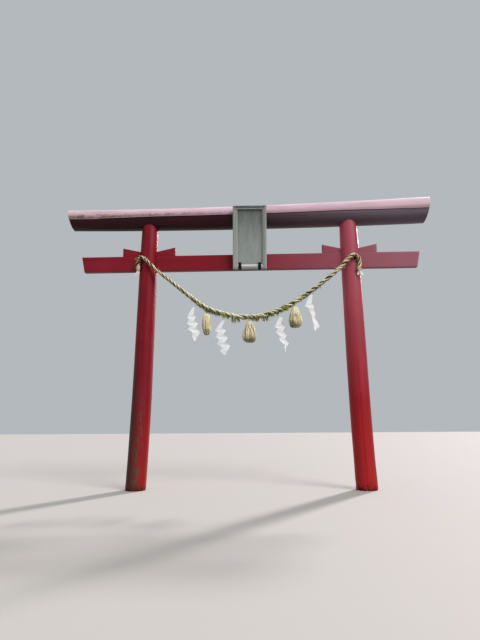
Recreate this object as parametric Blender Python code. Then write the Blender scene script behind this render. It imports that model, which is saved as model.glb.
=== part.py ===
# Torii gate: two leaning round posts, a tie beam wedged through them, a log on top under sheet metal,
# a framed name plaque, and a straw rope with tassels and paper streamers.
# Metres, +Z up. The origin is on the ground at the left post. The front looks along -Y.
import math

import bmesh
import bpy
from mathutils import Matrix, Vector

# Driving dimensions

gate_height = 4.60
post_spacing = 3.64
post_offset = -0.014
post_diameter = 0.320
post_sweep_height = 2.0
post_sides = 32

nuki_place = 0.85
nuki_height = 0.2725
nuki_thickness = 0.090
nuki_length = 5.84
nuki_end_slant = 0.054

wedge_outer_length = 0.299
wedge_inner_length = 0.315
wedge_end_height = 0.152
wedge_slope = 0.225
wedge_side_gap = 0.004

log_length = 6.245
log_left_overhang = 1.33
log_left_diameter = 0.362
log_right_diameter = 0.448
log_low_drop = 0.012
log_low_place = 0.50
log_end_rise = 0.078
log_left_slant = 0.27
log_right_slant = 0.22
log_sides = 40

sheet_thickness = 0.004
sheet_left_length = 0.53
sheet_right_length = 1.38
sheet_end_wrap = 1
sheet_middle_wrap = 0

strut_width = 0.150

plaque_width = 0.576
plaque_height = 1.091
plaque_depth = 0.060
plaque_standoff = 0.087
plaque_drop = 0.0195
plaque_lean = 10.0
plaque_roll = -0.5
plaque_offset = 0.016
rail_width = 0.083
rail_bevel = 0.022
panel_recess = 0.030
panel_thickness = 0.018

strap_width = 0.050
strap_thickness = 0.006
strap_front_height = 0.118
strap_back_height = 0.130
strap_spacing = 0.335
hanger_diameter = 0.014
hanger_drop = 0.045
hanger_spacing = 0.30
rod_sides = 8

rope_diameter = 0.080
hook_diameter = 0.016
hook_reach = 0.110
hook_tip = 0.050
tie_diameter = 0.052
tie_height = 0.034
tie_tail_width = 0.024
tie_tail_length = 0.105
tie_tail_thickness = 0.004
tassel_neck_diameter = 0.024
tassel_sides = 12
streamer_thickness = 0.002
streamer_stem_diameter = 0.008
streamer_stem_lap = 0.02

clearance = 0.0003

# How far up a post its girth changes, and to what share of its usual diameter, as the two logs grew

post_shapes = {
    -1: ((0.0, 1.052), (0.10, 1.039), (0.25, 1.035), (0.45, 1.003), (0.70, 0.977), (0.89, 0.943), (1.0, 0.862)),
    1: ((0.0, 1.103), (0.10, 1.062), (0.25, 1.064), (0.45, 1.059), (0.70, 1.021), (0.89, 0.99), (1.0, 0.896)),
}

# How much each post leans in, and how far its foot sweeps out again below post_sweep_height

post_leans = {-1: 0.022, 1: 0.0164}
post_sweeps = {-1: 0.033, 1: 0.027}
post_sweep_rings = (0.4, 0.7, 1.0)

# Hand-chosen places that the free rope passes, from its left end over both hooks to its right end,
# with heights counted from the tie beam's underside

rope_route = [
    (-0.082, -0.131, 0.011),
    (-0.086, -0.130, 0.063),
    (-0.090, -0.130, 0.125),
    (-0.070, -0.152, 0.185),
    (-0.020, -0.184, 0.209),
    (0.048, -0.200, 0.169),
    (0.147, -0.204, 0.076),
    (0.252, -0.204, -0.029),
    (0.482, -0.204, -0.216),
    (0.742, -0.203, -0.428),
    (1.021, -0.203, -0.648),
    (1.191, -0.203, -0.738),
    (1.401, -0.203, -0.801),
    (1.611, -0.203, -0.849),
    (1.820, -0.203, -0.865),
    (2.030, -0.203, -0.844),
    (2.240, -0.203, -0.777),
    (2.469, -0.203, -0.684),
    (2.689, -0.203, -0.554),
    (2.899, -0.203, -0.403),
    (3.118, -0.204, -0.236),
    (3.328, -0.204, -0.063),
    (3.470, -0.204, 0.085),
    (3.545, -0.206, 0.161),
    (3.612, -0.201, 0.185),
    (3.672, -0.178, 0.141),
    (3.690, -0.166, 0.075),
    (3.684, -0.171, 0.003),
    (3.672, -0.177, -0.065),
]
rope_samples = 68

# Each tassel: its place along the gate, its length, its width, where it is widest, and its neck's length

tassels = {
    "tassel_left": (1.112, 0.352, 0.142, 0.50, 0.060),
    "tassel_middle": (1.820, 0.342, 0.232, 0.72, 0.040),
    "tassel_right": (2.592, 0.358, 0.222, 0.76, 0.030),
}

# Each streamer: its place along the gate, its drop, its width, its turn, its swing to the left, and its stem's length

streamers = {
    "shide_1": (0.905, 0.575, 0.128, 4.0, 0.0, 0.060),
    "shide_2": (1.405, 0.592, 0.136, -6.0, -1.0, 0.060),
    "shide_3": (2.350, 0.545, 0.118, 14.0, -9.0, 0.078),
    "shide_4": (2.868, 0.600, 0.118, 30.0, -12.0, 0.016),
}
streamer_left_bands = (0.315, 0.13, 0.12, 0.12)
streamer_right_bands = (0.15, 0.13, 0.14)
streamer_folds = (0.40, 0.52, 0.76)
streamer_fold_fall = 0.62
streamer_first_lean = 0.65
streamer_lean = 0.52
streamer_top_share = 0.34


def new_material(name, colour, roughness, metallic=0.0):
    """A Principled material with one colour, given as it looks on a screen."""
    material = bpy.data.materials.new(name)
    material.use_nodes = True
    shader = material.node_tree.nodes["Principled BSDF"]
    linear = [((c / 255 + 0.055) / 1.055) ** 2.4 for c in colour]
    shader.inputs["Base Color"].default_value = (*linear, 1.0)
    shader.inputs["Roughness"].default_value = roughness
    shader.inputs["Metallic"].default_value = metallic
    return material


def place(name, mesh, material, smooth_angle=40.0):
    """One object of the gate, from a closed bmesh, shaded smooth where it is round."""
    bmesh.ops.recalc_face_normals(mesh, faces=mesh.faces[:])
    data = bpy.data.meshes.new(name)
    mesh.to_mesh(data)
    mesh.free()
    data.materials.append(material)
    data.shade_smooth()
    data.set_sharp_from_angle(angle=math.radians(smooth_angle))
    made = bpy.data.objects.new(name, data)
    bpy.context.scene.collection.objects.link(made)
    return made


def as_cutter(made):
    made.hide_render = True
    made.display_type = "WIRE"
    return made


def cut(made, cutter):
    boolean = made.modifiers.new("cut_" + cutter.name, "BOOLEAN")
    boolean.operation = "DIFFERENCE"
    boolean.object = cutter


def join(made, other):
    boolean = made.modifiers.new("join_" + other.name, "BOOLEAN")
    boolean.operation = "UNION"
    boolean.object = other


def loft(rings):
    """A closed bmesh through rings of the same number of points, with both ends filled."""
    mesh = bmesh.new()
    made = [[mesh.verts.new(point) for point in ring] for ring in rings]
    for lower, upper in zip(made, made[1:]):
        for i in range(len(lower)):
            j = (i + 1) % len(lower)
            mesh.faces.new((lower[i], lower[j], upper[j], upper[i]))
    mesh.faces.new(made[0])
    mesh.faces.new(made[-1])
    return mesh


def prism(outline, half_width, axis):
    """A closed bmesh from a flat outline, thickened both ways along x or y."""
    rings = []
    for side in (-half_width, half_width):
        if axis == "y":
            rings.append([Vector((a, side, b)) for a, b in outline])
        else:
            rings.append([Vector((side, a, b)) for a, b in outline])
    return loft(rings)


def circle(centre, radius, sides):
    """Points of a level circle."""
    turns = [2 * math.pi * i / sides for i in range(sides)]
    return [Vector((centre.x + radius * math.cos(t), centre.y + radius * math.sin(t), centre.z)) for t in turns]


# Posts


def post_centre(side, height):
    """Where a post's axis is at a height: side is -1 for the left post and 1 for the right one."""
    foot = post_offset + (post_spacing if side > 0 else 0.0)
    low_share = max(0.0, 1 - height / post_sweep_height)
    return foot - side * post_leans[side] * height + side * post_sweeps[side] * low_share**2


def post_radius(side, height):
    shape = post_shapes[side]
    share = min(height / gate_height, 1.0)
    for (low, low_girth), (high, high_girth) in zip(shape, shape[1:]):
        if share <= high:
            girth = low_girth + (high_girth - low_girth) * (share - low) / (high - low)
            return girth * post_diameter / 2


def post_mesh(side):
    heights = {share * gate_height for share, _ in post_shapes[side]}
    heights |= {share * post_sweep_height for share in post_sweep_rings}
    heights = sorted(heights)
    rings = [circle(Vector((post_centre(side, h), 0.0, h)), post_radius(side, h), post_sides) for h in heights]
    return loft(rings)


# The log on top


log_start = -log_left_overhang
log_end = log_start + log_length


def log_radius(x):
    share = (x - log_start) / log_length
    return (log_left_diameter + (log_right_diameter - log_left_diameter) * share) / 2


def log_axis(x):
    bow = (x - log_low_place) / (log_end - log_low_place)
    return gate_height - log_low_drop + log_end_rise * bow * bow


def end_slant(x):
    """How far a cut at this place leans out with height: only the two ends are slanted."""
    if math.isclose(x, log_start):
        return -log_left_slant
    if math.isclose(x, log_end):
        return log_right_slant
    return 0.0


def along_log(start, end, count):
    return [start + (end - start) * i / (count - 1) for i in range(count)]


def log_ring(x, grown):
    """One ring of the log, at a place along it and at some distance outside its surface."""
    radius = log_radius(x) + grown
    ring = []
    for i in range(log_sides):
        turn = 2 * math.pi * i / log_sides
        height = radius * math.sin(turn)
        ring.append(Vector((x + end_slant(x) * height, radius * math.cos(turn), log_axis(x) + height)))
    return ring


first_seam = log_start + sheet_left_length
second_seam = log_end - sheet_right_length
left_stations = along_log(log_start, first_seam, 2)
middle_stations = along_log(first_seam, second_seam, 8)
right_stations = along_log(second_seam, log_end, 4)


def log_mesh(grown):
    stations = left_stations[:-1] + middle_stations[:-1] + right_stations
    return loft([log_ring(x, grown) for x in stations])


def sheet_ring(x, wrap):
    """One ring of a bent sheet: its outer arc one way and its inner arc back. It wraps some facets past half round."""
    turns = [2 * math.pi * i / log_sides for i in range(-wrap, log_sides // 2 + wrap + 1)]
    outer, inner = [], []
    for ring, radius in ((outer, log_radius(x) + clearance + sheet_thickness), (inner, log_radius(x) + clearance)):
        for turn in turns:
            height = radius * math.sin(turn)
            ring.append(Vector((x + end_slant(x) * height, radius * math.cos(turn), log_axis(x) + height)))
    return outer + inner[::-1]


def sheet_mesh(stations, wrap):
    """A bent sheet over some of the log's stations, with half a joint's gap at each end that meets another."""
    rings = [sheet_ring(x, wrap) for x in stations]
    for ring, x, inward in ((rings[0], stations[0], 1), (rings[-1], stations[-1], -1)):
        if end_slant(x) == 0.0:
            for point in ring:
                point.x += inward * clearance / 2
    return loft(rings)


# The tie beam and its wedges


nuki_top = gate_height * nuki_place
nuki_bottom = nuki_top - nuki_height
nuki_middle = post_spacing / 2


def nuki_mesh():
    half = nuki_length / 2
    outline = [
        (nuki_middle - half, nuki_top),
        (nuki_middle - half + nuki_end_slant, nuki_bottom),
        (nuki_middle + half - nuki_end_slant, nuki_bottom),
        (nuki_middle + half, nuki_top),
    ]
    return prism(outline, nuki_thickness / 2, "y")


def wedge_rise(length):
    """How high a wedge stands above the tie beam where it enters the post."""
    return wedge_end_height - wedge_slope * length


def wedge_mesh(post_side, direction, length):
    """A wedge beside a post: direction is -1 to its left and 1 to its right."""
    centre = post_centre(post_side, nuki_top)
    face = post_radius(post_side, nuki_top)
    inner = clearance
    low = nuki_top + clearance
    thin = wedge_rise(length) - wedge_slope * (face - inner)
    outline = [
        (centre + direction * inner, low),
        (centre + direction * (face + length), low),
        (centre + direction * (face + length), nuki_top + wedge_end_height),
        (centre + direction * inner, nuki_top + thin),
    ]
    return prism(outline, nuki_thickness / 2 - wedge_side_gap, "y")


def mortise_mesh(side):
    """The hole through a post that takes the tie beam and its two wedges."""
    centre = post_centre(side, nuki_top)
    reach = post_diameter
    low = nuki_bottom - clearance
    high = nuki_top + wedge_rise(min(wedge_outer_length, wedge_inner_length)) + clearance
    outline = [(centre - reach, low), (centre + reach, low), (centre + reach, high), (centre - reach, high)]
    return prism(outline, nuki_thickness / 2 + clearance, "y")


def strut_mesh():
    """The strut between the tie beam and the log, behind the plaque."""
    half = strut_width / 2
    low, high = nuki_top + clearance, log_axis(plaque_x)
    outline = [(plaque_x - half, low), (plaque_x + half, low), (plaque_x + half, high), (plaque_x - half, high)]
    return prism(outline, nuki_thickness / 2, "y")


# The name plaque, in its own frame: x across, y back, z up its face, from the middle of its lower front edge


plaque_x = post_spacing / 2 + plaque_offset
plaque_y = -(nuki_thickness / 2 + plaque_standoff)
plaque_z = nuki_bottom - plaque_drop
plaque_matrix = (
    Matrix.Translation((plaque_x, plaque_y, plaque_z))
    @ Matrix.Rotation(math.radians(plaque_lean), 4, "X")
    @ Matrix.Rotation(math.radians(-plaque_roll), 4, "Y")
)


def rail_mesh(length):
    """A bevelled frame rail with both ends cut at 45 degrees: its outer edge lies on the x axis."""
    section = [
        (0.0, 0.0),
        (rail_width - rail_bevel, 0.0),
        (rail_width, panel_recess - clearance),
        (rail_width, plaque_depth),
        (0.0, plaque_depth),
    ]
    half = length / 2 - clearance
    return loft(
        [
            [Vector((-half + across, depth, across)) for across, depth in section],
            [Vector((half - across, depth, across)) for across, depth in section],
        ]
    )


def plaque_rail(name, length, turn, middle, material):
    made = place(name, rail_mesh(length), material, 20.0)
    made.matrix_world = plaque_matrix @ Matrix.Translation(middle) @ Matrix.Rotation(math.radians(turn), 4, "Y")
    return made


def panel_mesh():
    inner = rail_width + clearance
    low, high = Vector((-plaque_width / 2 + inner, 0, inner)), Vector((plaque_width / 2 - inner, 0, plaque_height - inner))
    outline = [(low.x, low.z), (high.x, low.z), (high.x, high.z), (low.x, high.z)]
    mesh = prism(outline, panel_thickness / 2, "y")
    bmesh.ops.translate(mesh, verts=mesh.verts[:], vec=(0, panel_recess + panel_thickness / 2, 0))
    return mesh


def strap_mesh(x):
    """A flat iron strap: down the beam's face, forward under the plaque and up its front."""
    beam_face = -nuki_thickness / 2 - clearance
    corner = plaque_matrix @ Vector((x, -clearance, -clearance))
    low_corner = plaque_matrix @ Vector((x, -clearance - strap_thickness, -clearance - strap_thickness))
    top = plaque_matrix @ Vector((x, -clearance, strap_front_height))
    low_top = plaque_matrix @ Vector((x, -clearance - strap_thickness, strap_front_height))
    fall = math.tan(math.radians(plaque_lean))
    inner_face = beam_face - strap_thickness
    outline = [
        (top.y, top.z),
        (corner.y, corner.z),
        (inner_face, corner.z + fall * (inner_face - corner.y)),
        (inner_face, nuki_bottom + strap_back_height),
        (beam_face, nuki_bottom + strap_back_height),
        (beam_face, low_corner.z + fall * (beam_face - low_corner.y)),
        (low_corner.y, low_corner.z),
        (low_top.y, low_top.z),
    ]
    mesh = prism(outline, strap_width / 2, "x")
    bmesh.ops.translate(mesh, verts=mesh.verts[:], vec=(corner.x, 0, 0))
    return mesh


def hanger_mesh(x):
    """A short iron stay from inside the log, where it is trimmed, to the back of the plaque."""
    height = log_axis(x) - hanger_drop
    rings = [[], []]
    for i in range(rod_sides):
        turn = 2 * math.pi * i / rod_sides
        across = x + hanger_diameter / 2 * math.cos(turn)
        up = height + hanger_diameter / 2 * math.sin(turn)
        rings[0].append(Vector((across, 0.0, up)))
        rings[1].append(Vector((across, plaque_back(across, up) + clearance, up)))
    return loft(rings)


def plaque_back(x, z):
    """Where the plaque's back is, at a place across and a height."""
    origin = plaque_matrix @ Vector((0, plaque_depth, 0))
    normal = plaque_matrix.to_3x3() @ Vector((0, 1, 0))
    return origin.y - (normal.x * (x - origin.x) + normal.z * (z - origin.z)) / normal.y


# The rope, its hooks and what hangs on it


def rope_places():
    return [Vector((x, y, nuki_bottom + z)) for x, y, z in rope_route]


def rope_point(share):
    """A point of the smooth curve through the rope's route, from 0 at its left end to 1 at its right end."""
    points = rope_places()
    points = [2 * points[0] - points[1]] + points + [2 * points[-1] - points[-2]]
    place_along = share * (len(rope_route) - 1)
    i = min(int(place_along), len(rope_route) - 2)
    t = place_along - i
    before, start, end, after = points[i : i + 4]
    return 0.5 * (
        2 * start
        + (end - before) * t
        + (2 * before - 5 * start + 4 * end - after) * t**2
        + (3 * start - before - 3 * end + after) * t**3
    )


def rope_curve(name, radius):
    curve = bpy.data.curves.new(name, "CURVE")
    curve.dimensions = "3D"
    curve.bevel_depth = radius
    curve.bevel_resolution = 3
    curve.use_fill_caps = True
    spline = curve.splines.new("POLY")
    spline.points.add(rope_samples)
    for i, point in enumerate(spline.points):
        point.co = (*rope_point(i / rope_samples), 1.0)
    spline.use_smooth = True
    made = bpy.data.objects.new(name, curve)
    bpy.context.scene.collection.objects.link(made)
    return made


def rope_cutter():
    """A mesh a little thicker than the rope, which trims what hangs under it."""
    thick = rope_curve("rope_thick", rope_diameter / 2 + 2 * clearance)
    data = bpy.data.meshes.new_from_object(thick)
    mesh = bmesh.new()
    mesh.from_mesh(data)
    bmesh.ops.remove_doubles(mesh, verts=mesh.verts[:], dist=clearance / 10)
    bpy.data.objects.remove(thick)
    return as_cutter(place("rope_clearance", mesh, materials["straw"]))


def rope_at(x):
    """The rope's middle at a place between the posts."""
    low, high = 0.2, 0.8
    for _ in range(40):
        middle = (low + high) / 2
        if rope_point(middle).x < x:
            low = middle
        else:
            high = middle
    return rope_point(low)


def hook_mesh(side, peak):
    """An iron hook: a rod out of the post under the rope, with its tip turned up in front of the rope."""
    radius = hook_diameter / 2
    offset = peak.x - post_centre(side, peak.z)
    surface = -math.sqrt(post_radius(side, peak.z) ** 2 - offset**2)
    height = peak.z - rope_diameter / 2 - radius - clearance
    front = surface - hook_reach
    rings = []
    for y in (surface - clearance, front + radius):
        ring = []
        for i in range(rod_sides):
            turn = 2 * math.pi * i / rod_sides
            x = peak.x + radius * math.cos(turn)
            z = height + radius * math.sin(turn)
            back = y
            if y > front + radius:
                gap = x - post_centre(side, z)
                back = -math.sqrt(post_radius(side, z) ** 2 - gap**2) - 2 * clearance
            ring.append(Vector((x, back, z)))
        rings.append(ring)
    for turn_up in (30, 60, 90):
        angle = math.radians(turn_up)
        centre = Vector((peak.x, front + radius - 2 * radius * math.sin(angle), height + 2 * radius * (1 - math.cos(angle))))
        rings.append(hook_ring(centre, angle, radius))
    rings.append(hook_ring(centre + Vector((0, 0, hook_tip)), angle, radius))
    return loft(rings)


def hook_ring(centre, angle, radius):
    ring = []
    for i in range(rod_sides):
        turn = 2 * math.pi * i / rod_sides
        up = radius * math.sin(turn)
        ring.append(centre + Vector((radius * math.cos(turn), up * math.sin(angle), up * math.cos(angle))))
    return ring


def tie_mesh(end, before):
    """The white cord knot under a rope's end."""
    down = (end - before).normalized()
    turn = Vector((0, 0, -1)).rotation_difference(down).to_matrix().to_4x4()
    top = end + down * 2 * clearance
    rings = []
    for drop, share in ((0.0, 0.7), (0.25, 1.0), (0.7, 1.0), (1.0, 0.55)):
        ring = circle(Vector((0, 0, -drop * tie_height)), share * tie_diameter / 2, tassel_sides)
        rings.append([turn @ point + top for point in ring])
    return loft(rings), top + down * tie_height / 2


def tail_mesh(start, lean):
    """One flat white tail of a tie, hanging from its knot."""
    outline = [
        (-tie_tail_width / 2, 0.0),
        (tie_tail_width / 2, 0.0),
        (tie_tail_width / 2, -tie_tail_length),
        (-tie_tail_width / 2, -tie_tail_length * 0.92),
    ]
    mesh = prism(outline, tie_tail_thickness / 2, "y")
    turn = Matrix.Translation(start) @ Matrix.Rotation(math.radians(lean), 4, "Y")
    bmesh.ops.transform(mesh, matrix=turn, verts=mesh.verts[:])
    return mesh


def tassel_mesh(x, length, width, widest, neck):
    """A straw tassel as a turned teardrop on a thin neck that reaches up into the rope."""
    hold = rope_at(x)
    top = hold.z - rope_diameter / 2 - neck
    thin = tassel_neck_diameter / 2
    profile = [(0.0, 0.30), (0.10, 0.52), (widest * 0.6, 0.86), (widest, 1.0), (0.93, 0.74), (1.0, 0.35)]
    rings = [circle(hold, thin, tassel_sides), circle(Vector((hold.x, hold.y, top + thin)), thin, tassel_sides)]
    for share, girth in profile:
        rings.append(circle(Vector((hold.x, hold.y, top - share * length)), girth * width / 2, tassel_sides))
    return loft(rings)


def streamer_side(x, z, bands, drop, width):
    """One side of a folded streamer: it leans left down each band, and steps back right and down at each fold."""
    side = [(x, z)]
    for i, band in enumerate(bands):
        lean = streamer_first_lean if i == 0 else streamer_lean
        x -= lean * band * drop
        z -= band * drop
        side.append((x, z))
        if i < len(streamer_folds):
            x += streamer_folds[i] * width
            z -= streamer_fold_fall * streamer_folds[i] * width
            side.append((x, z))
    return side


def streamer_outline(drop, width):
    """A folded paper streamer seen flat, from a narrow top to a pointed tip."""
    left = streamer_side(0.0, 0.0, streamer_left_bands, drop, width)
    top = streamer_top_share * width
    right = streamer_side(top, -top, streamer_right_bands, drop, width)
    tip = (right[-1][0] - streamer_lean * (right[-1][1] + drop), -drop)
    return left + [tip] + right[::-1]


def streamer_mesh(x, drop, width, turn, swing, stem):
    hold = rope_at(x)
    top = hold.z - rope_diameter / 2 - stem
    mesh = prism(streamer_outline(drop, width), streamer_thickness / 2, "y")
    middle = Matrix.Translation((-streamer_top_share * width / 2, 0, streamer_top_share * width / 2))
    turned = Matrix.Rotation(math.radians(turn), 4, "Z") @ Matrix.Rotation(math.radians(swing), 4, "Y")
    bmesh.ops.transform(mesh, matrix=Matrix.Translation((hold.x, hold.y, top)) @ turned @ middle, verts=mesh.verts[:])
    return mesh, hold, top


def stem_mesh(hold, top):
    low = Vector((hold.x, hold.y, top - streamer_stem_lap))
    return loft([circle(hold, streamer_stem_diameter / 2, rod_sides), circle(low, streamer_stem_diameter / 2, rod_sides)])


# Build

for old in list(bpy.data.objects):
    bpy.data.objects.remove(old)

materials = {
    "red_paint": new_material("red_paint", (150, 36, 40), 0.55),
    "red_sheet": new_material("red_sheet", (168, 60, 62), 0.38),
    "plaque_wood": new_material("plaque_wood", (168, 176, 166), 0.70),
    "iron": new_material("iron", (28, 26, 28), 0.55, 0.8),
    "straw": new_material("straw", (196, 184, 128), 0.90),
    "white_cord": new_material("white_cord", (228, 226, 220), 0.80),
    "paper": new_material("paper", (238, 240, 242), 0.70),
}

log_clearance = as_cutter(place("log_clearance", log_mesh(clearance), materials["red_paint"]))
for post_name, side in (("left", -1), ("right", 1)):
    post = place("post_" + post_name, post_mesh(side), materials["red_paint"])
    mortise = as_cutter(place("mortise_" + post_name, mortise_mesh(side), materials["red_paint"]))
    cut(post, log_clearance)
    cut(post, mortise)
    for wedge_name, direction, length in (("outer", side, wedge_outer_length), ("inner", -side, wedge_inner_length)):
        place("wedge_" + post_name + "_" + wedge_name, wedge_mesh(side, direction, length), materials["red_paint"])

place("nuki_beam", nuki_mesh(), materials["red_paint"])
place("kasagi_log", log_mesh(0.0), materials["red_paint"])

for sheet_name, stations, wrap in (
    ("left", left_stations, sheet_end_wrap),
    ("middle", middle_stations, sheet_middle_wrap),
    ("right", right_stations, sheet_end_wrap),
):
    place("cap_sheet_" + sheet_name, sheet_mesh(stations, wrap), materials["red_sheet"])

strut = place("gakuzuka_strut", strut_mesh(), materials["red_paint"])
cut(strut, log_clearance)

panel = place("plaque_panel", panel_mesh(), materials["plaque_wood"])
panel.matrix_world = plaque_matrix
plaque_rail("plaque_rail_bottom", plaque_width, 0, Vector((0, 0, 0)), materials["plaque_wood"])
plaque_rail("plaque_rail_top", plaque_width, 180, Vector((0, 0, plaque_height)), materials["plaque_wood"])
plaque_rail(
    "plaque_rail_left", plaque_height, 90, Vector((-plaque_width / 2, 0, plaque_height / 2)), materials["plaque_wood"]
)
plaque_rail(
    "plaque_rail_right", plaque_height, -90, Vector((plaque_width / 2, 0, plaque_height / 2)), materials["plaque_wood"]
)
for strap_name, side in (("left", -1), ("right", 1)):
    place("plaque_strap_" + strap_name, strap_mesh(side * strap_spacing / 2), materials["iron"], 20.0)
    hanger = place("plaque_hanger_" + strap_name, hanger_mesh(plaque_x + side * hanger_spacing / 2), materials["iron"])
    cut(hanger, log_clearance)

rope = rope_curve("rope", rope_diameter / 2)
rope.data.materials.append(materials["straw"])
rope_clearance = rope_cutter()

route = rope_places()
for end_name, side, peak, end, before in (
    ("left", -1, route[4], rope_point(0), rope_point(1 / rope_samples)),
    ("right", 1, route[-5], rope_point(1), rope_point(1 - 1 / rope_samples)),
):
    hook = place("rope_hook_" + end_name, hook_mesh(side, peak), materials["iron"])
    cut(hook, rope_clearance)
    knot, knot_middle = tie_mesh(end, before)
    tie = place("rope_tie_" + end_name, knot, materials["white_cord"])
    for tail_name, lean in (("a", side * -28.0), ("b", side * 6.0)):
        tail = as_cutter(place("tail_" + end_name + tail_name, tail_mesh(knot_middle, lean), materials["white_cord"]))
        join(tie, tail)

for tassel_name, sizes in tassels.items():
    tassel = place(tassel_name, tassel_mesh(*sizes), materials["straw"])
    cut(tassel, rope_clearance)

for streamer_name, sizes in streamers.items():
    sheet, hold, top = streamer_mesh(*sizes)
    streamer = place(streamer_name, sheet, materials["paper"], 20.0)
    stem = as_cutter(place(streamer_name + "_stem", stem_mesh(hold, top), materials["paper"]))
    join(streamer, stem)
    cut(streamer, rope_clearance)
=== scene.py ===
import math
from functools import partial
import bmesh
import bpy
from mathutils import Matrix, Vector, noise


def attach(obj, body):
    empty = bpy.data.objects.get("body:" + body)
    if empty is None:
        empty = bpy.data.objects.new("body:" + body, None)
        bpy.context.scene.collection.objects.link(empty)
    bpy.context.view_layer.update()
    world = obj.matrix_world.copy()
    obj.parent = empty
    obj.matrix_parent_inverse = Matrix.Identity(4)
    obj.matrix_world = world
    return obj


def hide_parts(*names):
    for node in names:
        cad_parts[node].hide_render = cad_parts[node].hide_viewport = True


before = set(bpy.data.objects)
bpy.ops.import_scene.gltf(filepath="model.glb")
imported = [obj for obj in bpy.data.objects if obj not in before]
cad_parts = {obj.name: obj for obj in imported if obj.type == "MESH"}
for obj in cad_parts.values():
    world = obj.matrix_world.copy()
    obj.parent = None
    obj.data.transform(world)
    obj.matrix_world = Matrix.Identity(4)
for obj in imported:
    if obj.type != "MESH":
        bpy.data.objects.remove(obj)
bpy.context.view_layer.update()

print("frame loaded:", len(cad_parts), "nodes")

# Camera, fitted to the edges of the posts and of the tie beam

camera = {
    "place": (1.972, -8.524, 1.141),
    "yaw": -2.115,
    "pitch": 10.777,
    "roll": -0.409,
    "focalPixels": 511.2,
    "longSide": 640,
}


def makeCamera():
    data = bpy.data.cameras.new("camera")
    data.sensor_width = 36.0
    data.lens = camera["focalPixels"] * data.sensor_width / camera["longSide"]
    made = bpy.data.objects.new("camera", data)
    bpy.context.scene.collection.objects.link(made)
    turn = (
        Matrix.Rotation(math.radians(-camera["yaw"]), 4, "Z")
        @ Matrix.Rotation(math.radians(90 + camera["pitch"]), 4, "X")
        @ Matrix.Rotation(math.radians(camera["roll"]), 4, "Z")
    )
    made.matrix_world = Matrix.Translation(camera["place"]) @ turn
    bpy.context.scene.camera = made


makeCamera()

# The gate's own measures, in metres, as the CAD has them

gate = {
    "height": 4.60,
    "postSpacing": 3.64,
    "postDiameter": 0.320,
    "postOffset": -0.014,
    "postLeans": {-1: 0.0220, 1: 0.0164},
    "postSweeps": {-1: 0.033, 1: 0.027},
    "postSweepHeight": 2.0,
    "postShapes": {
        -1: ((0.0, 1.052), (0.10, 1.039), (0.25, 1.035), (0.45, 1.003), (0.70, 0.977), (0.89, 0.943), (1.0, 0.862)),
        1: ((0.0, 1.103), (0.10, 1.062), (0.25, 1.064), (0.45, 1.059), (0.70, 1.021), (0.89, 0.990), (1.0, 0.896)),
    },
    "beamTop": 3.910,
    "beamHeight": 0.2725,
    "beamThickness": 0.090,
    "beamLength": 5.84,
    "beamEndSlant": 0.054,
    "logLength": 6.245,
    "logOverhang": 1.33,
    "logLeft": 0.362,
    "logRight": 0.448,
    "logLowDrop": 0.012,
    "logLowPlace": 0.50,
    "logEndRise": 0.078,
    "logLeftSlant": 0.27,
    "logRightSlant": 0.22,
}
beamBottom = gate["beamTop"] - gate["beamHeight"]
logStart = -gate["logOverhang"]
logEnd = logStart + gate["logLength"]


def postCentre(side, height):
    foot = gate["postOffset"] + (gate["postSpacing"] if side > 0 else 0.0)
    lowShare = max(0.0, 1 - height / gate["postSweepHeight"])
    return foot - side * gate["postLeans"][side] * height + side * gate["postSweeps"][side] * lowShare**2


def postRadius(side, height):
    share = min(height / gate["height"], 1.0)
    return eased(gate["postShapes"][side], share, 0.0) * gate["postDiameter"] / 2


def logRadius(x):
    share = (x - logStart) / gate["logLength"]
    return (gate["logLeft"] + (gate["logRight"] - gate["logLeft"]) * share) / 2


def logAxis(x):
    bow = (x - gate["logLowPlace"]) / (logEnd - gate["logLowPlace"])
    return gate["height"] - gate["logLowDrop"] + gate["logEndRise"] * bow * bow


def logUnderside(x, y):
    return logAxis(x) - math.sqrt(max(logRadius(x) ** 2 - y * y, 0.0))


# Small tools


def linear(hexColour):  # an sRGB hex colour as the linear values that shaders use
    values = [int(hexColour[i : i + 2], 16) / 255 for i in (1, 3, 5)]
    return tuple(v / 12.92 if v <= 0.04045 else ((v + 0.055) / 1.055) ** 2.4 for v in values) + (1.0,)


# what some kinds of node are given here unless a call says otherwise, and which of their outputs is wanted
usualSettings = {"Mix": {"data_type": "RGBA"}}
usualInputs = {"TexNoise": {"Scale": 1.0}}
usualOutputs = {"Mix": 2, "NewGeometry": "Normal", "TexCoord": "Object", "Attribute": "Fac", "RandomValue": 1}
familiesOfNodes = ("ShaderNode", "GeometryNode", "FunctionNode", "")


# one node with its settings, values and links; its kind is followed by its operation, where it has one
def addNode(tree, kind, inputs=(), out=None, **settings):
    kind, _, operation = kind.partition(" ")
    node = tree.nodes.new(next(family + kind for family in familiesOfNodes if hasattr(bpy.types, family + kind)))
    if operation:
        node.operation = operation.upper()
    for name, value in {**usualSettings.get(kind, {}), **settings}.items():
        setattr(node, name, value)
    given = inputs if isinstance(inputs, dict) else dict(enumerate(inputs))
    for key, value in {**usualInputs.get(kind, {}), **given}.items():
        if isinstance(value, bpy.types.NodeSocket):
            tree.links.new(value, node.inputs[key])
        else:
            node.inputs[key].default_value = linear(value) if str(value).startswith("#") else value
    wanted = usualOutputs.get(kind, 0) if out is None else out
    return node.outputs[wanted] if node.outputs else None


def smoothStep(low, high, value):
    share = min(max((value - low) / (high - low), 0.0), 1.0)
    return share * share * (3 - 2 * share)


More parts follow.
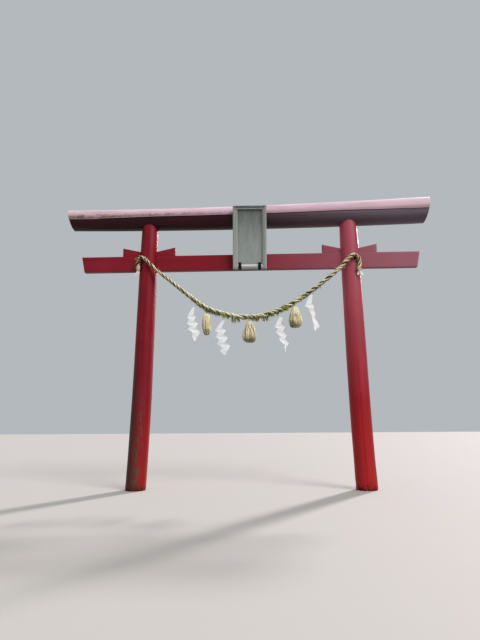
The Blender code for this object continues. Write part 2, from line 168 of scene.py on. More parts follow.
def eased(points, place, softness=1.0):  # read off a row of (place, value) points: 0 is straight, 1 is eased at each
    for (low, first), (high, second) in zip(points, points[1:]):
        if place <= high:
            straight = (place - low) / (high - low)
            return first + (second - first) * (softness * smoothStep(low, high, place) + (1 - softness) * straight)
    return points[-1][1]


def onCircle(angle, radius, height=0.0):
    return Vector((radius * math.cos(angle), radius * math.sin(angle), height))


def spread(start, end, count):
    return [start + (end - start) * i / (count - 1) for i in range(count)]


def finishMesh(mesh, material, sharpAngle):  # outward faces, smooth where the surface is round
    shape = bmesh.new()
    shape.from_mesh(mesh)
    bmesh.ops.recalc_face_normals(shape, faces=shape.faces[:])
    shape.to_mesh(mesh)
    shape.free()
    mesh.materials.clear()
    mesh.materials.append(material)
    mesh.shade_smooth()
    mesh.set_sharp_from_angle(angle=math.radians(sharpAngle))


def addObject(name, mesh):
    made = bpy.data.objects.new(name, mesh)
    bpy.context.scene.collection.objects.link(made)
    return made


def loftFaces(rows, size, first=0):
    faces = []
    for i in range(rows - 1):
        for j in range(size):
            k = (j + 1) % size
            low, high = first + i * size, first + (i + 1) * size
            faces.append((low + j, low + k, high + k, high + j))
    return faces


def loftPiece(name, rings, material, sharpAngle=35.0, floats=None):  # a closed body through rings of points
    size = len(rings[0])
    points = [tuple(p) for ring in rings for p in ring]
    faces = loftFaces(len(rings), size)
    faces.append(tuple(range(size))[::-1])
    faces.append(tuple(range(len(points) - size, len(points))))
    mesh = bpy.data.meshes.new(name)
    mesh.from_pydata(points, [], faces)
    for attribute, values in (floats or {}).items():
        mesh.attributes.new(attribute, "FLOAT", "POINT").data.foreach_set("value", values)
    finishMesh(mesh, material, sharpAngle)
    return addObject(name, mesh)


def framesAlong(path):  # a steady pair of side directions at each point of a path
    ways = []
    for i in range(len(path)):
        ways.append((path[min(i + 1, len(path) - 1)] - path[max(i - 1, 0)]).normalized())
    side = ways[0].orthogonal().normalized()
    frames = []
    for way in ways:
        side = (side - way * side.dot(way)).normalized()
        frames.append((side, way.cross(side)))
    return frames


def tubeRings(path, radius, sides):  # radius is one number, or one for each point
    sizes = radius if isinstance(radius, (list, tuple)) else [radius] * len(path)
    rings = []
    for point, size, (side, other) in zip(path, sizes, framesAlong(path)):
        turns = [2 * math.pi * i / sides for i in range(sides)]
        rings.append([point + side * size * math.cos(t) + other * size * math.sin(t) for t in turns])
    return rings


def joinedPiece(name, pieces):  # several bodies as one piece
    shape = bmesh.new()
    for piece in pieces:
        shape.from_mesh(piece.data)
    mesh = bpy.data.meshes.new(name)
    shape.to_mesh(mesh)
    shape.free()
    mesh.materials.append(pieces[0].data.materials[0])
    for piece in pieces:
        bpy.data.objects.remove(piece)
    return addObject(name, mesh)


def onGate(piece, slot, *nodes):  # every piece rides on the gate and may stand for CAD nodes
    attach(piece, "root")
    if nodes:
        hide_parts(*nodes)
    return piece


def newTree(name, counts, sizes):  # an empty node tree for geometry, with a named input for each count and size
    tree = bpy.data.node_groups.new(name, "GeometryNodeTree")
    inputs = {"Geometry": "Geometry", **dict.fromkeys(counts, "Int"), **dict.fromkeys(sizes, "Float")}
    for label, kind in {**inputs, "Material": "Material"}.items():
        tree.interface.new_socket(label, in_out="INPUT", socket_type="NodeSocket" + kind)
    tree.interface.new_socket("Geometry", in_out="OUTPUT", socket_type="NodeSocketGeometry")
    return partial(addNode, tree), addNode(tree, "NodeGroupInput").node.outputs


def closeTree(add, given, geometry):  # what every tree ends in
    real = add("RealizeInstances", {"Geometry": geometry})
    finished = add("SetMaterial", {"Geometry": real, "Material": given["Material"]})
    add("NodeGroupOutput", {"Geometry": finished})
    return finished.id_data


def grownPiece(name, base, tree, values):  # runs a tree on a mesh and keeps the result as a plain mesh
    holder = addObject(name + "Base", base)
    modifier = holder.modifiers.new("grow", "NODES")
    modifier.node_group = tree
    for item in tree.interface.items_tree:
        if item.item_type == "SOCKET" and item.in_out == "INPUT" and item.name in values:
            modifier[item.identifier] = values[item.name]
    depsgraph = bpy.context.evaluated_depsgraph_get()
    mesh = bpy.data.meshes.new_from_object(
        holder.evaluated_get(depsgraph), preserve_all_data_layers=True, depsgraph=depsgraph
    )
    holder.modifiers.clear()
    bpy.data.objects.remove(holder)
    mesh.name = name
    return addObject(name, mesh)


# Materials


def newMaterial(name, roughness, metallic=0.0, specular=0.5):
    material = bpy.data.materials.new(name)
    material.use_nodes = True
    tree = material.node_tree
    shader = tree.nodes["Principled BSDF"]
    for name, value in (("Roughness", roughness), ("Metallic", metallic), ("Specular IOR Level", specular)):
        shader.inputs[name].default_value = value
    return material, partial(addNode, tree)


def layOver(add, colour, over, value, low, high, share=1.0):  # a second colour, where a value goes from low to high
    mask = add("MapRange", [value, low, high, 0.0, share])
    return add("Mix", {0: mask, 6: colour, 7: over})


def coatWith(material, sockets, relief=None, strength=0.0, depth=0.0):  # what a finish ends in, its relief as a bump
    tree = material.node_tree
    if relief:
        sockets["Normal"] = addNode(tree, "Bump", {"Strength": strength, "Distance": depth, "Height": relief})
    for name, socket in sockets.items():
        tree.links.new(socket, tree.nodes["Principled BSDF"].inputs[name])
    return material


def stretched(add, width, length, along, shift=0.0):  # object coordinates in which one unit is one stripe, in metres
    spot = add("TexCoord")
    scale = [1 / width] * 3
    scale[along] = 1 / length
    return add("Mapping", {"Vector": spot, "Scale": scale, "Location": (shift,) * 3})


# Alkyd enamel brushed on cedar: satin red that has sunk into the grain, rubbed through to grey, algae-stained wood
# where the wear is worst, with painted haze over the right end, a painted lit side and painted shade underneath
plainTimber = {
    "along": 0, "wear": 0.80, "wearGain": 0.0, "wearLow": 0.0, "wearHigh": 1.0, "wearWay": (0.0, -1.0, 0.0),
    "dampAndShade": 0.0, "chalkAndHaze": 0.0, "hazeColour": "#b27688", "sideLightGain": 1.0,
}
timberLooks = {
    "postLeftPaint": {
        "along": 2, "paint": "#8a0f21", "deep": "#740c1a", "faded": "#941c2d", "low": "#9c1d1e", "wear": 0.72,
        "wearGain": 0.245, "wearHigh": 3.3, "wearWay": (-0.08, -1.0, 0.0), "undersideSootAndShade": 0.35, "dampAndShade": 0.90, "shift": 0.0,
    },
    "postRightPaint": {
        "along": 2, "paint": "#93121f", "deep": "#80101a", "faded": "#9b1f2e", "low": "#a02220", "wearGain": 0.22,
        "wearHigh": 0.45, "wearWay": (0.80, -0.60, 0.0), "undersideSootAndShade": 0.3, "dampAndShade": 0.15, "chalkAndHaze": 0.42, "sideLightGain": 1.75,
        "shift": 4.3,
    },
    "beamPaint": {
        "paint": "#8b1527", "deep": "#7e1020", "faded": "#922232", "low": "#8b1527", "wear": 0.86, "undersideSootAndShade": 0.45,
        "chalkAndHaze": 0.66, "shift": 9.1,
    },
    # the log's paint is written far darker than the posts': dark maroon with painted shade, for the shade under its
    # sheet
    "logPaintAndShade": {
        "paint": "#390f18", "deep": "#2a0a11", "faded": "#44151f", "low": "#390f18", "undersideSootAndShade": 0.32, "chalkAndHaze": 0.60,
        "hazeColour": "#a596a6", "shift": 2.7,
    },
    "strutPaint": {
        "along": 2, "paint": "#7c1020", "deep": "#5e0c18", "faded": "#8a1c2c", "low": "#7c1020", "wear": 0.84,
        "undersideSootAndShade": 0.5, "shift": 6.4,
    },
}


def paintedTimber(name):
    look = {**plainTimber, **timberLooks[name]}
    material, add = newMaterial(name, 0.42, specular=0.18)
    along, shift = look["along"], look["shift"]
    surface = add("NewGeometry")
    spot = add("TexCoord")
    # the growth lines of cedar, about 5 mm apart
    grain = add("TexNoise", {"Vector": stretched(add, 0.005, 0.35, along, shift), "Detail": 4.0, "Roughness": 0.6})
    # brush and rain streaks, drawn wide enough to show
    streaks = add("TexNoise", {"Vector": stretched(add, 0.045, 1.3, along, shift), "Detail": 5.0, "Roughness": 0.62})
    patches = add("TexNoise", {"Vector": stretched(add, 0.28, 0.75, along, shift), "Detail": 3.0})
    streakMask = add("MapRange", [streaks, 0.36, 0.64])
    patchMask = add("MapRange", [patches, 0.46, 0.72, 0.0, 0.55])
    paint = add("Mix", {0: streakMask, 6: look["deep"], 7: look["paint"]})
    paint = add("Mix", {0: patchMask, 6: paint, 7: look["faded"]})
    height = add("SeparateXYZ", [spot], out="Z")
    # a warmer red from an older coat shows lower down
    older = add("MapRange", [height, 1.9, 0.2, 0.0, 0.8], interpolation_type="SMOOTHSTEP")
    paint = add("Mix", {0: older, 6: paint, 7: look["low"]})
    # painted haze: the right end is painted paler higher up, standing in for the bright haze in the light there
    across = add("SeparateXYZ", [spot])
    chalkAndHaze = add("MapRange", [across, 1.6, 4.4, 0.0, look["chalkAndHaze"]])
    high = add("MapRange", [height, 1.4, 3.4])
    chalkAndHaze = add("Math multiply", [chalkAndHaze, high])
    paint = add("Mix", {0: chalkAndHaze, 6: paint, 7: look["hazeColour"]})
    # painted light: the side facing -x is painted brighter, as if the light fell on it
    away = add("VectorMath dot_product", [surface, (-1.0, 0.0, 0.0)], out="Value")
    sideLight = add("MapRange", [away, -1.0, 0.9, 1.0, look["sideLightGain"]])
    paint = add("VectorMath scale", {0: paint, "Scale": sideLight})
    # where the paint is worn: lower down, on the side that the weather reaches, along the grain
    low = add("MapRange", [height, look["wearHigh"], look["wearLow"]], interpolation_type="SMOOTHSTEP")
    toward = add("VectorMath dot_product", [surface, look["wearWay"]], out="Value")
    sided = add("MapRange", [toward, 0.35, 0.98])
    reach = add("Math multiply", [low, sided])
    flakes = add(
        "TexNoise", {"Vector": stretched(add, 0.018, 0.17, along, shift + 3.0), "Detail": 7.0, "Roughness": 0.70}
    )
    worn = add("Math multiply_add", [reach, look["wearGain"], flakes])
    worn = add("MapRange", [worn, look["wear"] - 0.012, look["wear"] + 0.03])
    bare = layOver(add, "#3d2f26", "#6d5c47", grain, 0.35, 0.65)
    bare = layOver(add, bare, "#59523a", patches, 0.42, 0.62, 0.4)
    colour = add("Mix", {0: worn, 6: paint, 7: bare})
    # low down, the side facing -x turns darker brown: partly damp staining, partly painted shade
    shaded = add("Math multiply_add", [streaks, 0.5, away])
    shaded = add("MapRange", [shaded, 0.04, 1.02, 0.0, look["dampAndShade"]])
    dampAndShade = add("MapRange", [height, 2.7, 1.2], interpolation_type="SMOOTHSTEP")
    dampAndShade = add("Math multiply", [dampAndShade, shaded])
    colour = add("Mix", {0: dampAndShade, 6: colour, 7: "#382820"})
    # the foot rots where the grass keeps it wet
    rot = add("MapRange", [height, 0.26, 0.0, 0.0, 0.50])
    rot = add("Math add", [rot, flakes])
    colour = layOver(add, colour, "#2e1812", rot, 0.86, 0.98, 0.8)
    # the undersides are painted darker: partly soot and mildew, partly painted shade
    upward = add("SeparateXYZ", [surface], out="Z")
    colour = layOver(add, colour, "#1c0d12", upward, 0.1, -0.85, look["undersideSootAndShade"])
    gloss = add("MapRange", [streaks, 0.3, 0.7, 0.50, 0.36])
    gloss = add("Mix", {0: worn, 2: gloss, 3: 0.88}, out=0, data_type="FLOAT")
    relief = add("Math multiply_add", [grain, 0.35, streaks])
    relief = add("Math multiply_add", [worn, -0.9, relief])
    return coatWith(material, {"Base Color": colour, "Roughness": gloss}, relief, 0.55, 0.0025)


# Baked enamel on bent steel sheet: red chalked to pink by the sun, a painted highlight on top, soot and moss at the
# hem
def paintedSheet():
    material, add = newMaterial("enamelledSheet", 0.34, specular=0.6)
    surface = add("NewGeometry")
    facing = add("SeparateXYZ", [surface]).node.outputs
    upward = facing["Z"]
    chalkAndHaze = add("TexNoise", {"Vector": stretched(add, 0.10, 0.65, 0), "Detail": 5.0, "Roughness": 0.6})
    # soot in patches about 100 mm long and 75 mm high
    runs = add("TexNoise", {"Vector": stretched(add, 0.075, 0.100, 0), "Detail": 7.0, "Roughness": 0.78})
    # painted highlight: the top is painted pale pink, standing in for the sky's light on it
    colour = layOver(add, "#a98290", "#f2d6e2", upward, -0.05, 0.9)
    colour = layOver(add, colour, "#ad8492", chalkAndHaze, 0.42, 0.70, 0.55)
    # painted shade: the top and the back are painted a duller pink
    colour = layOver(add, colour, "#a67c8a", facing["Y"], -0.40, 0.0, 0.75)
    hem = add("Attribute", attribute_name="hem")
    near = add("MapRange", [hem, 0.100, 0.0, 0.0, 0.34])
    spot = add("TexCoord")
    x = add("SeparateXYZ", [spot])
    shaded = add("MapRange", [x, 2.9, -0.6])  # trees drip on the left half
    shade = add("Math multiply", [shaded, 0.20])
    near = add("Math add", [near, shade])
    dirt = add("Math add", [runs, near])
    dirt = add("MapRange", [dirt, 0.78, 0.94, 0.0, 0.9])
    share = add("Math multiply_add", [shaded, 0.75, 0.25])
    dirt = add("Math multiply", [dirt, share])
    # rain keeps the rolled hem itself cleaner
    roll = add("MapRange", [hem, 0.001, 0.010, 0.25])
    dirt = add("Math multiply", [dirt, roll])
    spots = add("TexNoise", {"Vector": stretched(add, 0.03, 0.03, 0, 5.0), "Detail": 6.0})
    soot = layOver(add, "#443b34", "#877b64", spots, 0.40, 0.66)
    colour = add("Mix", {0: dirt, 6: colour, 7: soot})
    gloss = add("MapRange", [chalkAndHaze, 0.3, 0.7, 0.30, 0.46])
    gloss = add("Mix", {0: dirt, 2: gloss, 3: 0.85}, out=0, data_type="FLOAT")
    relief = add("Math multiply_add", [spots, 0.3, chalkAndHaze])
    return coatWith(material, {"Base Color": colour, "Roughness": gloss}, relief, 0.35, 0.003)


# Oil paint on planed cypress, weathered to a grey green white: dull, with fine checks and rain marks
# painted shadow from the log: the dim colour comes in from the low to the high level, both above the tie beam's
# underside
boardLooks = {
    "frame": {
        "name": "framePaintWithPaintedLight", "pale": "#a4aaa5", "dim": "#899089", "along": 2, "low": 0.15, "high": 1.0,
        "share": 0.6,
    },
    "frameLevel": {
        "name": "railPaintWithPaintedLight", "pale": "#8e9490", "dim": "#4c524f", "along": 0, "low": 0.93, "high": 1.04,
        "share": 0.85,
    },
    "panel": {
        "name": "panelPaintWithPaintedLight", "pale": "#9ca4a0", "dim": "#565c5a", "along": 2, "low": 0.40, "high": 0.98,
        "share": 0.8,
    },
}


def paintedBoard(look):
    material, add = newMaterial(look["name"], 0.66)
    grain = add("TexNoise", {"Vector": stretched(add, 0.004, 0.22, look["along"]), "Detail": 4.0, "Roughness": 0.6})
    stains = add("TexNoise", {"Vector": stretched(add, 0.07, 0.30, 2), "Detail": 5.0, "Roughness": 0.6})
    stainMask = add("MapRange", [stains, 0.30, 0.74, -0.1, 0.22])
    spot = add("TexCoord")
    height = add("SeparateXYZ", [spot], out="Z")
    # painted shadow: darker higher up, under the log
    paintedShadow = add("MapRange", [height, beamBottom + look["low"], beamBottom + look["high"], 0.0, look["share"]])
    stainsAndShadow = add("Math add", [stainMask, paintedShadow])
    colour = add("Mix", {0: stainsAndShadow, 6: look["pale"], 7: look["dim"]})
    colour = layOver(add, colour, "#6f7468", grain, 0.60, 0.70, 0.25)
    # painted highlight: the mouldings that face up are painted near white, as the sky lights them
    surface = add("NewGeometry")
    upward = add("SeparateXYZ", [surface], out="Z")
    colour = layOver(add, colour, "#f6f8f4", upward, 0.30, 0.60, 0.9)
    rough = add("MapRange", [stains, 0.3, 0.7, 0.56, 0.78])
    return coatWith(material, {"Base Color": colour, "Roughness": rough}, grain, 0.4, 0.0012)


# Forged strap iron, lacquered black: hammer marks and a little rust in patches
def blackIron():
    material, add = newMaterial("lacqueredIron", 0.62, metallic=0.0, specular=0.12)
    marks = add("TexNoise", {"Vector": stretched(add, 0.012, 0.012, 0), "Detail": 4.0})
    rust = add("TexNoise", {"Vector": stretched(add, 0.035, 0.035, 0, 2.0), "Detail": 8.0})
    rustMask = add("MapRange", [rust, 0.60, 0.72, 0.0, 0.6])
    black = add("Mix", {0: marks, 6: "#0a0b0d", 7: "#17181b"})
    colour = add("Mix", {0: rustMask, 6: black, 7: "#5a3524"})
    rough = add("MapRange", [rustMask, 0.0, 1.0, 0.55, 0.85])
    return coatWith(material, {"Base Color": colour, "Roughness": rough}, marks, 0.5, 0.0015)


# Rice straw: long dry stalks with a dull wax gloss, pale gold, brown in specks and from straw to straw, green where
# moss holds on
# mossShare is how much moss there is, under what the underside adds to it, bleach how pale the top is: bleached by
# the sun and lit by painted light from above; gapShade how dark the painted shade is between the straws
strawLooks = {
    "ropeStraw": {
        "name": "ropeStraw", "pale": "#f3eec8", "brown": "#a89c68", "moss": "#777a3c", "mossShare": 0.36,
        "under": 0.40, "bleachAndTopLight": 0.85, "gapShade": 0.85,
    },
    "tasselStraw": {
        "name": "tasselStraw", "pale": "#ebe1bb", "brown": "#8a7a54", "moss": "#96945a", "mossShare": 0.28,
        "under": 0.16, "bleachAndTopLight": 0.3, "gapShade": 1.2,
    },
    "moss": {
        "name": "mossyStraw", "pale": "#eef09c", "brown": "#b4bc5a", "moss": "#9cac48", "mossShare": 0.40,
        "under": 0.20, "bleachAndTopLight": 0.3, "gapShade": 1.0,
    },
    "paleStraw": {
        "name": "dryStraw", "pale": "#f4efcc", "brown": "#c9bb86", "moss": "#c0be7c", "mossShare": 0.30,
        "under": 0.10, "bleachAndTopLight": 0.3, "gapShade": 1.0,
    },
    "brownStraw": {
        "name": "rottingStraw", "pale": "#c3b184", "brown": "#7a6a46", "moss": "#77753f", "mossShare": 0.35,
        "under": 0.30, "bleachAndTopLight": 0.2, "gapShade": 1.0,
    },
}


def straw(look):
    material, add = newMaterial(look["name"], 0.72, specular=0.35)
    surface = add("NewGeometry")
    upward = add("SeparateXYZ", [surface], out="Z")
    tone = add("Attribute", attribute_name="tone")
    specks = add("TexNoise", {"Vector": stretched(add, 0.016, 0.016, 0), "Detail": 4.0})
    broad = add("TexNoise", {"Vector": stretched(add, 0.11, 0.11, 0, 7.0), "Detail": 3.0})
    mixed = add("Math multiply_add", [specks, 0.6, tone])
    colour = layOver(add, look["pale"], look["brown"], mixed, 0.35, 1.15)
    # the ends hang clear of the wet leaves: drier, browner, less mossy, with darker painted shade in the gaps, most at
    # the left
    spot = add("TexCoord")
    spot = add("SeparateXYZ", [spot]).node.outputs
    dry = add("MapRange", [spot["Z"], beamBottom - 0.40, beamBottom + 0.05])
    endGapShade = add("MapRange", [spot["X"], 2.2, 0.8, 0.4, 2.0])
    tan = add("Math multiply", [dry, 0.6])
    colour = add("Mix", {0: tan, 6: colour, 7: "#c9a878"})
    # what faces up is paler: sun bleaching, and painted light from above
    bleachedAndLit = add("MapRange", [upward, -0.05, 0.75, 0.0, look["bleachAndTopLight"]])
    colour = add("Mix", {0: bleachedAndLit, 6: colour, 7: "#f8f5dc"})
    wet = add("MapRange", [upward, 0.55, -0.7, 0.0, look["under"]])
    wet = add("Math add", [wet, broad])
    wet = add("Math multiply_add", [dry, -0.40, wet])
    clear = 1.0 - look["mossShare"]
    colour = layOver(add, colour, look["moss"], wet, clear - 0.10, clear + 0.12, 0.9)
    # painted shade: the gaps between the strands and straws are painted near black, less on the lit top
    deep = add("Attribute", attribute_name="hollow")
    hollow = add("Math multiply_add", [bleachedAndLit, -0.6, 1.0])
    hollow = add("Math multiply", [hollow, deep])
    gaps = add("Math multiply_add", [dry, endGapShade, look["gapShade"]])
    hollow = add("Math multiply", [hollow, gaps])
    colour = add("Mix", {0: hollow, 6: colour, 7: "#1f180e"})
    return coatWith(material, {"Base Color": colour}, specks, 0.5, 0.002)


# Handmade mulberry paper and bleached hemp: white and soft
def whiteFibre(name, pale, dim, width, length):
    material, add = newMaterial(name, 0.78, specular=0.3)
    fibres = add("TexNoise", {"Vector": stretched(add, width, length, 2), "Detail": 5.0, "Roughness": 0.65})
    colour = layOver(add, pale, dim, fibres, 0.35, 0.75)
    rough = add("MapRange", [fibres, 0.3, 0.7, 0.70, 0.86])
    return coatWith(material, {"Base Color": colour, "Roughness": rough}, fibres, 0.3, 0.0008)


finishes = {name: paintedTimber(name) for name in timberLooks}
finishes["sheet"] = paintedSheet()
finishes["iron"] = blackIron()
finishes.update({name: paintedBoard(look) for name, look in boardLooks.items()})
finishes.update({name: straw(look) for name, look in strawLooks.items()})
finishes["paper"] = whiteFibre("mulberryPaper", "#fbfcff", "#f0f3f8", 0.006, 0.03)
finishes["cord"] = whiteFibre("bleachedHemp", "#f6f5f0", "#dbd8cf", 0.002, 0.02)
print("materials made:", len(finishes))

# The rope: three strands of rice straw laid together, hung over a hook on each post

rope = {
    "diameter": 0.080,
    "strands": 3,
    "pitch": 0.26,
    "offset": 0.0205,
    "strandRadius": 0.0198,
    "strawsInStrand": 13,
    "strawTwist": -14.0,
    "lumps": 0.42,
    "slack": 1.3,
    "step": 0.0085,
    "pathPoints": 273,
    # how thick it is along its length: a share of the length, a share of the full thickness
    "thickness": (
        (0.0, 1.0), (0.03, 0.92), (0.06, 0.78), (0.11, 0.70), (0.26, 0.70), (0.38, 0.98), (0.60, 1.06), (0.72, 0.88),
        (0.92, 0.80), (1.0, 1.0),
    ),
}
# places that the rope passes: along the gate, across it, and above the tie beam's underside
ropeRoute = [
    (-0.082, -0.131, 0.011), (-0.086, -0.130, 0.063), (-0.090, -0.130, 0.125), (-0.070, -0.152, 0.185),
    (-0.020, -0.184, 0.209), (0.048, -0.200, 0.169), (0.147, -0.204, 0.076), (0.252, -0.204, -0.029),
    (0.482, -0.204, -0.216), (0.742, -0.203, -0.428), (1.021, -0.203, -0.648), (1.191, -0.203, -0.738),
    (1.401, -0.203, -0.801), (1.611, -0.203, -0.849), (1.820, -0.203, -0.865), (2.030, -0.203, -0.844),
    (2.240, -0.203, -0.777), (2.469, -0.203, -0.684), (2.689, -0.203, -0.554), (2.899, -0.203, -0.403),
    (3.118, -0.204, -0.236), (3.328, -0.204, -0.063), (3.470, -0.204, 0.085), (3.545, -0.206, 0.161),
    (3.612, -0.201, 0.185), (3.672, -0.178, 0.141), (3.690, -0.166, 0.075), (3.684, -0.171, 0.003),
    (3.672, -0.177, -0.065),
]


def ropePoint(share):  # a smooth curve through the route, from 0 at its left end to 1 at its right end
    points = [Vector((x, y, beamBottom + z)) for x, y, z in ropeRoute]
    points = [2 * points[0] - points[1]] + points + [2 * points[-1] - points[-2]]
    along = share * (len(ropeRoute) - 1)
    i = min(int(along), len(ropeRoute) - 2)
    t = along - i
    before, start, end, after = points[i : i + 4]
    return 0.5 * (
        2 * start
        + (end - before) * t
        + (2 * before - 5 * start + 4 * end - after) * t**2
        + (3 * start - before - 3 * end + after) * t**3
    )


ropePath = [ropePoint(share) for share in spread(0.0, 1.0, rope["pathPoints"])]
ropeLength = sum((b - a).length for a, b in zip(ropePath, ropePath[1:]))


def ropeAt(x):  # the rope's middle at a place between the posts
    hanging = ropePath[len(ropePath) // 5 : -len(ropePath) // 5]
    return min(hanging, key=lambda point: abs(point.x - x)).copy()


def lineMesh(name, points, thickness=None):  # a chain of edges for a tree to follow
    mesh = bpy.data.meshes.new(name)
    mesh.from_pydata([tuple(p) for p in points], [(i, i + 1) for i in range(len(points) - 1)], [])
    if thickness:
        values = [eased(thickness, i / (len(points) - 1)) for i in range(len(points))]
        mesh.attributes.new("thickness", "FLOAT", "POINT").data.foreach_set("value", values)
    return mesh


def strandTree():
    sizes = ("pitch", "offset", "strandRadius", "strawTwist", "lumps", "slack", "step")
    add, given = newTree("laidStrands", ("strands", "strawsInStrand"), sizes)
    line = add("MeshToCurve", {"Mesh": given["Geometry"]})
    line = add("ResampleCurve", {"Curve": line, "Length": given["step"]}, mode="LENGTH")
    copies = add("DuplicateElements", {"Geometry": line, "Amount": given["strands"]}, domain="SPLINE")
    along = add("SplineParameter", out="Length")
    turns = add("Math divide", [along, given["pitch"]])
    strand = copies.node.outputs["Duplicate Index"]
    phase = add("Math divide", [strand, given["strands"]])
    angle = add("Math add", [turns, phase])
    angle = add("Math multiply", [angle, 2 * math.pi])
    # the lay slips: each strand runs ahead or falls behind along the rope
    place = add("CombineXYZ", [along, phase])
    slip = add("TexNoise", {"Vector": place, "Scale": 3.2, "Detail": 1.0})
    slip = add("MapRange", [slip, 0.3, 0.7, -1.0, 1.0])
    angle = add("Math multiply_add", [slip, given["slack"], angle])
    marked = add("StoreNamedAttribute", {"Geometry": copies, "Name": "ropeAngle", "Value": angle})
    marked = add("StoreNamedAttribute", {"Geometry": marked, "Name": "alongRope", "Value": along})
    angle = add("InputNamedAttribute", {"Name": "ropeAngle"})
    along = add("InputNamedAttribute", {"Name": "alongRope"})
    side = add("InputNormal")
    way = add("InputTangent")
    other = add("VectorMath cross_product", [way, side])
    cosine = add("Math cosine", [angle])
    sine = add("Math sine", [angle])
    first = add("VectorMath scale", {0: side, "Scale": cosine})
    second = add("VectorMath scale", {0: other, "Scale": sine})
    out = add("VectorMath add", [first, second])
    girth = add("InputNamedAttribute", {"Name": "thickness"})
    apart = add("Math multiply", [given["offset"], girth])
    out = add("VectorMath scale", {0: out, "Scale": apart})
    moved = add("SetPosition", {"Geometry": marked, "Offset": out})
    tilt = add("Math multiply", [along, given["strawTwist"]])
    moved = add("SetCurveTilt", {"Curve": moved, "Tilt": tilt})
    place = add("CombineXYZ", [along, angle])
    lump = add("TexNoise", {"Vector": place, "Scale": 7.0, "Detail": 2.0})
    lump = add("Math add", [lump, -0.5])
    lump = add("Math multiply_add", [lump, given["lumps"], 1.0])
    thick = add("Math multiply", [lump, given["strandRadius"]])
    thick = add("Math multiply", [thick, girth])
    count = add("Math multiply", [given["strawsInStrand"], 3.0])
    outline = add("CurvePrimitiveCircle", {"Resolution": count, "Radius": 1.0})
    index = add("InputIndex")
    ridge = add("Math multiply", [index, 2 * math.pi / 3])
    ridge = add("Math cosine", [ridge])
    ridge = add("Math multiply_add", [ridge, 0.07, 0.96])
    spot = add("InputPosition")
    spot = add("VectorMath scale", {0: spot, "Scale": ridge})
    ribbed = add("SetPosition", {"Geometry": outline, "Position": spot})
    straws = add("Math divide", [index, 3.0])
    straws = add("Math add", [straws, 0.34])
    straws = add("Math floor", [straws])
    tone = add("RandomValue", {2: 0.0, 3: 1.0, "ID": straws, "Seed": 4})
    ribbed = add("StoreNamedAttribute", {"Geometry": ribbed, "Name": "tone", "Value": tone})
    body = add("CurveToMesh", {"Curve": moved, "Profile Curve": ribbed, "Scale": thick, "Fill Caps": True})
    # how deep between the strands a place lies, from 0 on their crests to 1
    away = add("Proximity", {"Geometry": given["Geometry"]}, out="Distance", target_element="EDGES")
    away = add("Math divide", [away, given["offset"]])
    away = add("Math divide", [away, girth])
    hollow = add("MapRange", [away, 1.72, 1.22])
    body = add("StoreNamedAttribute", {"Geometry": body, "Name": "hollow", "Value": hollow})
    body = add("SetShadeSmooth", {"Geometry": body})
    return closeTree(add, given, body)


ropeValues = {**rope, "Material": finishes["ropeStraw"]}
ropePiece = grownPiece("rope.strands", lineMesh("ropeLine", ropePath, rope["thickness"]), strandTree(), ropeValues)
print("rope laid:", round(ropeLength, 3), "m,", len(ropePiece.data.polygons), "faces")


# Straw ends that stand off the rope, and the patches of moss and loose straw that hang from its middle

growth = {
    "Length": 0.045, "Shortest": 0.35, "Thickness": 0.0042, "Outward": 0.35, "Fall": 0.75, "Along": 0.55, "Fade": 0.04,
    "Lowest Face": 0.25,
    # each patch: its straw, where it starts and ends along the gate, its density, and what it has of its own
    "patches": {
        "looseStraw": ("ropeStraw", -1.0, 5.0, 800, {"Outward": 0.3, "Fall": 0.15, "Along": 1.0, "Lowest Face": 2.0}),
        "thinMoss": ("moss", 0.70, 2.75, 2600, {"Length": 0.030, "Fade": 0.35}),
        "firstMoss": ("moss", 0.86, 1.03, 9000, {"Length": 0.028, "Outward": 0.8, "Lowest Face": 0.7}),
        "brownFringe": ("brownStraw", 1.03, 1.38, 11000, {"Length": 0.042}),
        "greenTuft": ("moss", 1.37, 1.49, 16000, {"Length": 0.048, "Outward": 0.7, "Fall": 1.0, "Lowest Face": 0.8}),
        "hangingTuft": (
            "paleStraw", 1.515, 1.590, 30000,
            {"Length": 0.082, "Shortest": 0.8, "Outward": 0.1, "Fall": 3.2, "Along": 0.2, "Lowest Face": -0.5},
        ),
        "thinTuft": (
            "brownStraw", 1.600, 1.665, 16000, {"Length": 0.070, "Outward": 0.1, "Fall": 2.2, "Lowest Face": -0.3},
        ),
        "middleFringe": ("brownStraw", 1.87, 2.00, 13000, {"Length": 0.048, "Fall": 1.2}),
        "paleTufts": (
            "paleStraw", 2.02, 2.15, 12000, {"Length": 0.072, "Shortest": 0.5, "Fall": 2.4, "Lowest Face": 0.1},
        ),
        "spikes": ("brownStraw", 2.16, 2.32, 8000, {"Length": 0.052, "Fall": 1.8}),
        "lastMoss": ("moss", 2.34, 2.50, 20000, {"Length": 0.038, "Outward": 0.8, "Fall": 0.7, "Lowest Face": 0.8}),
    },
}


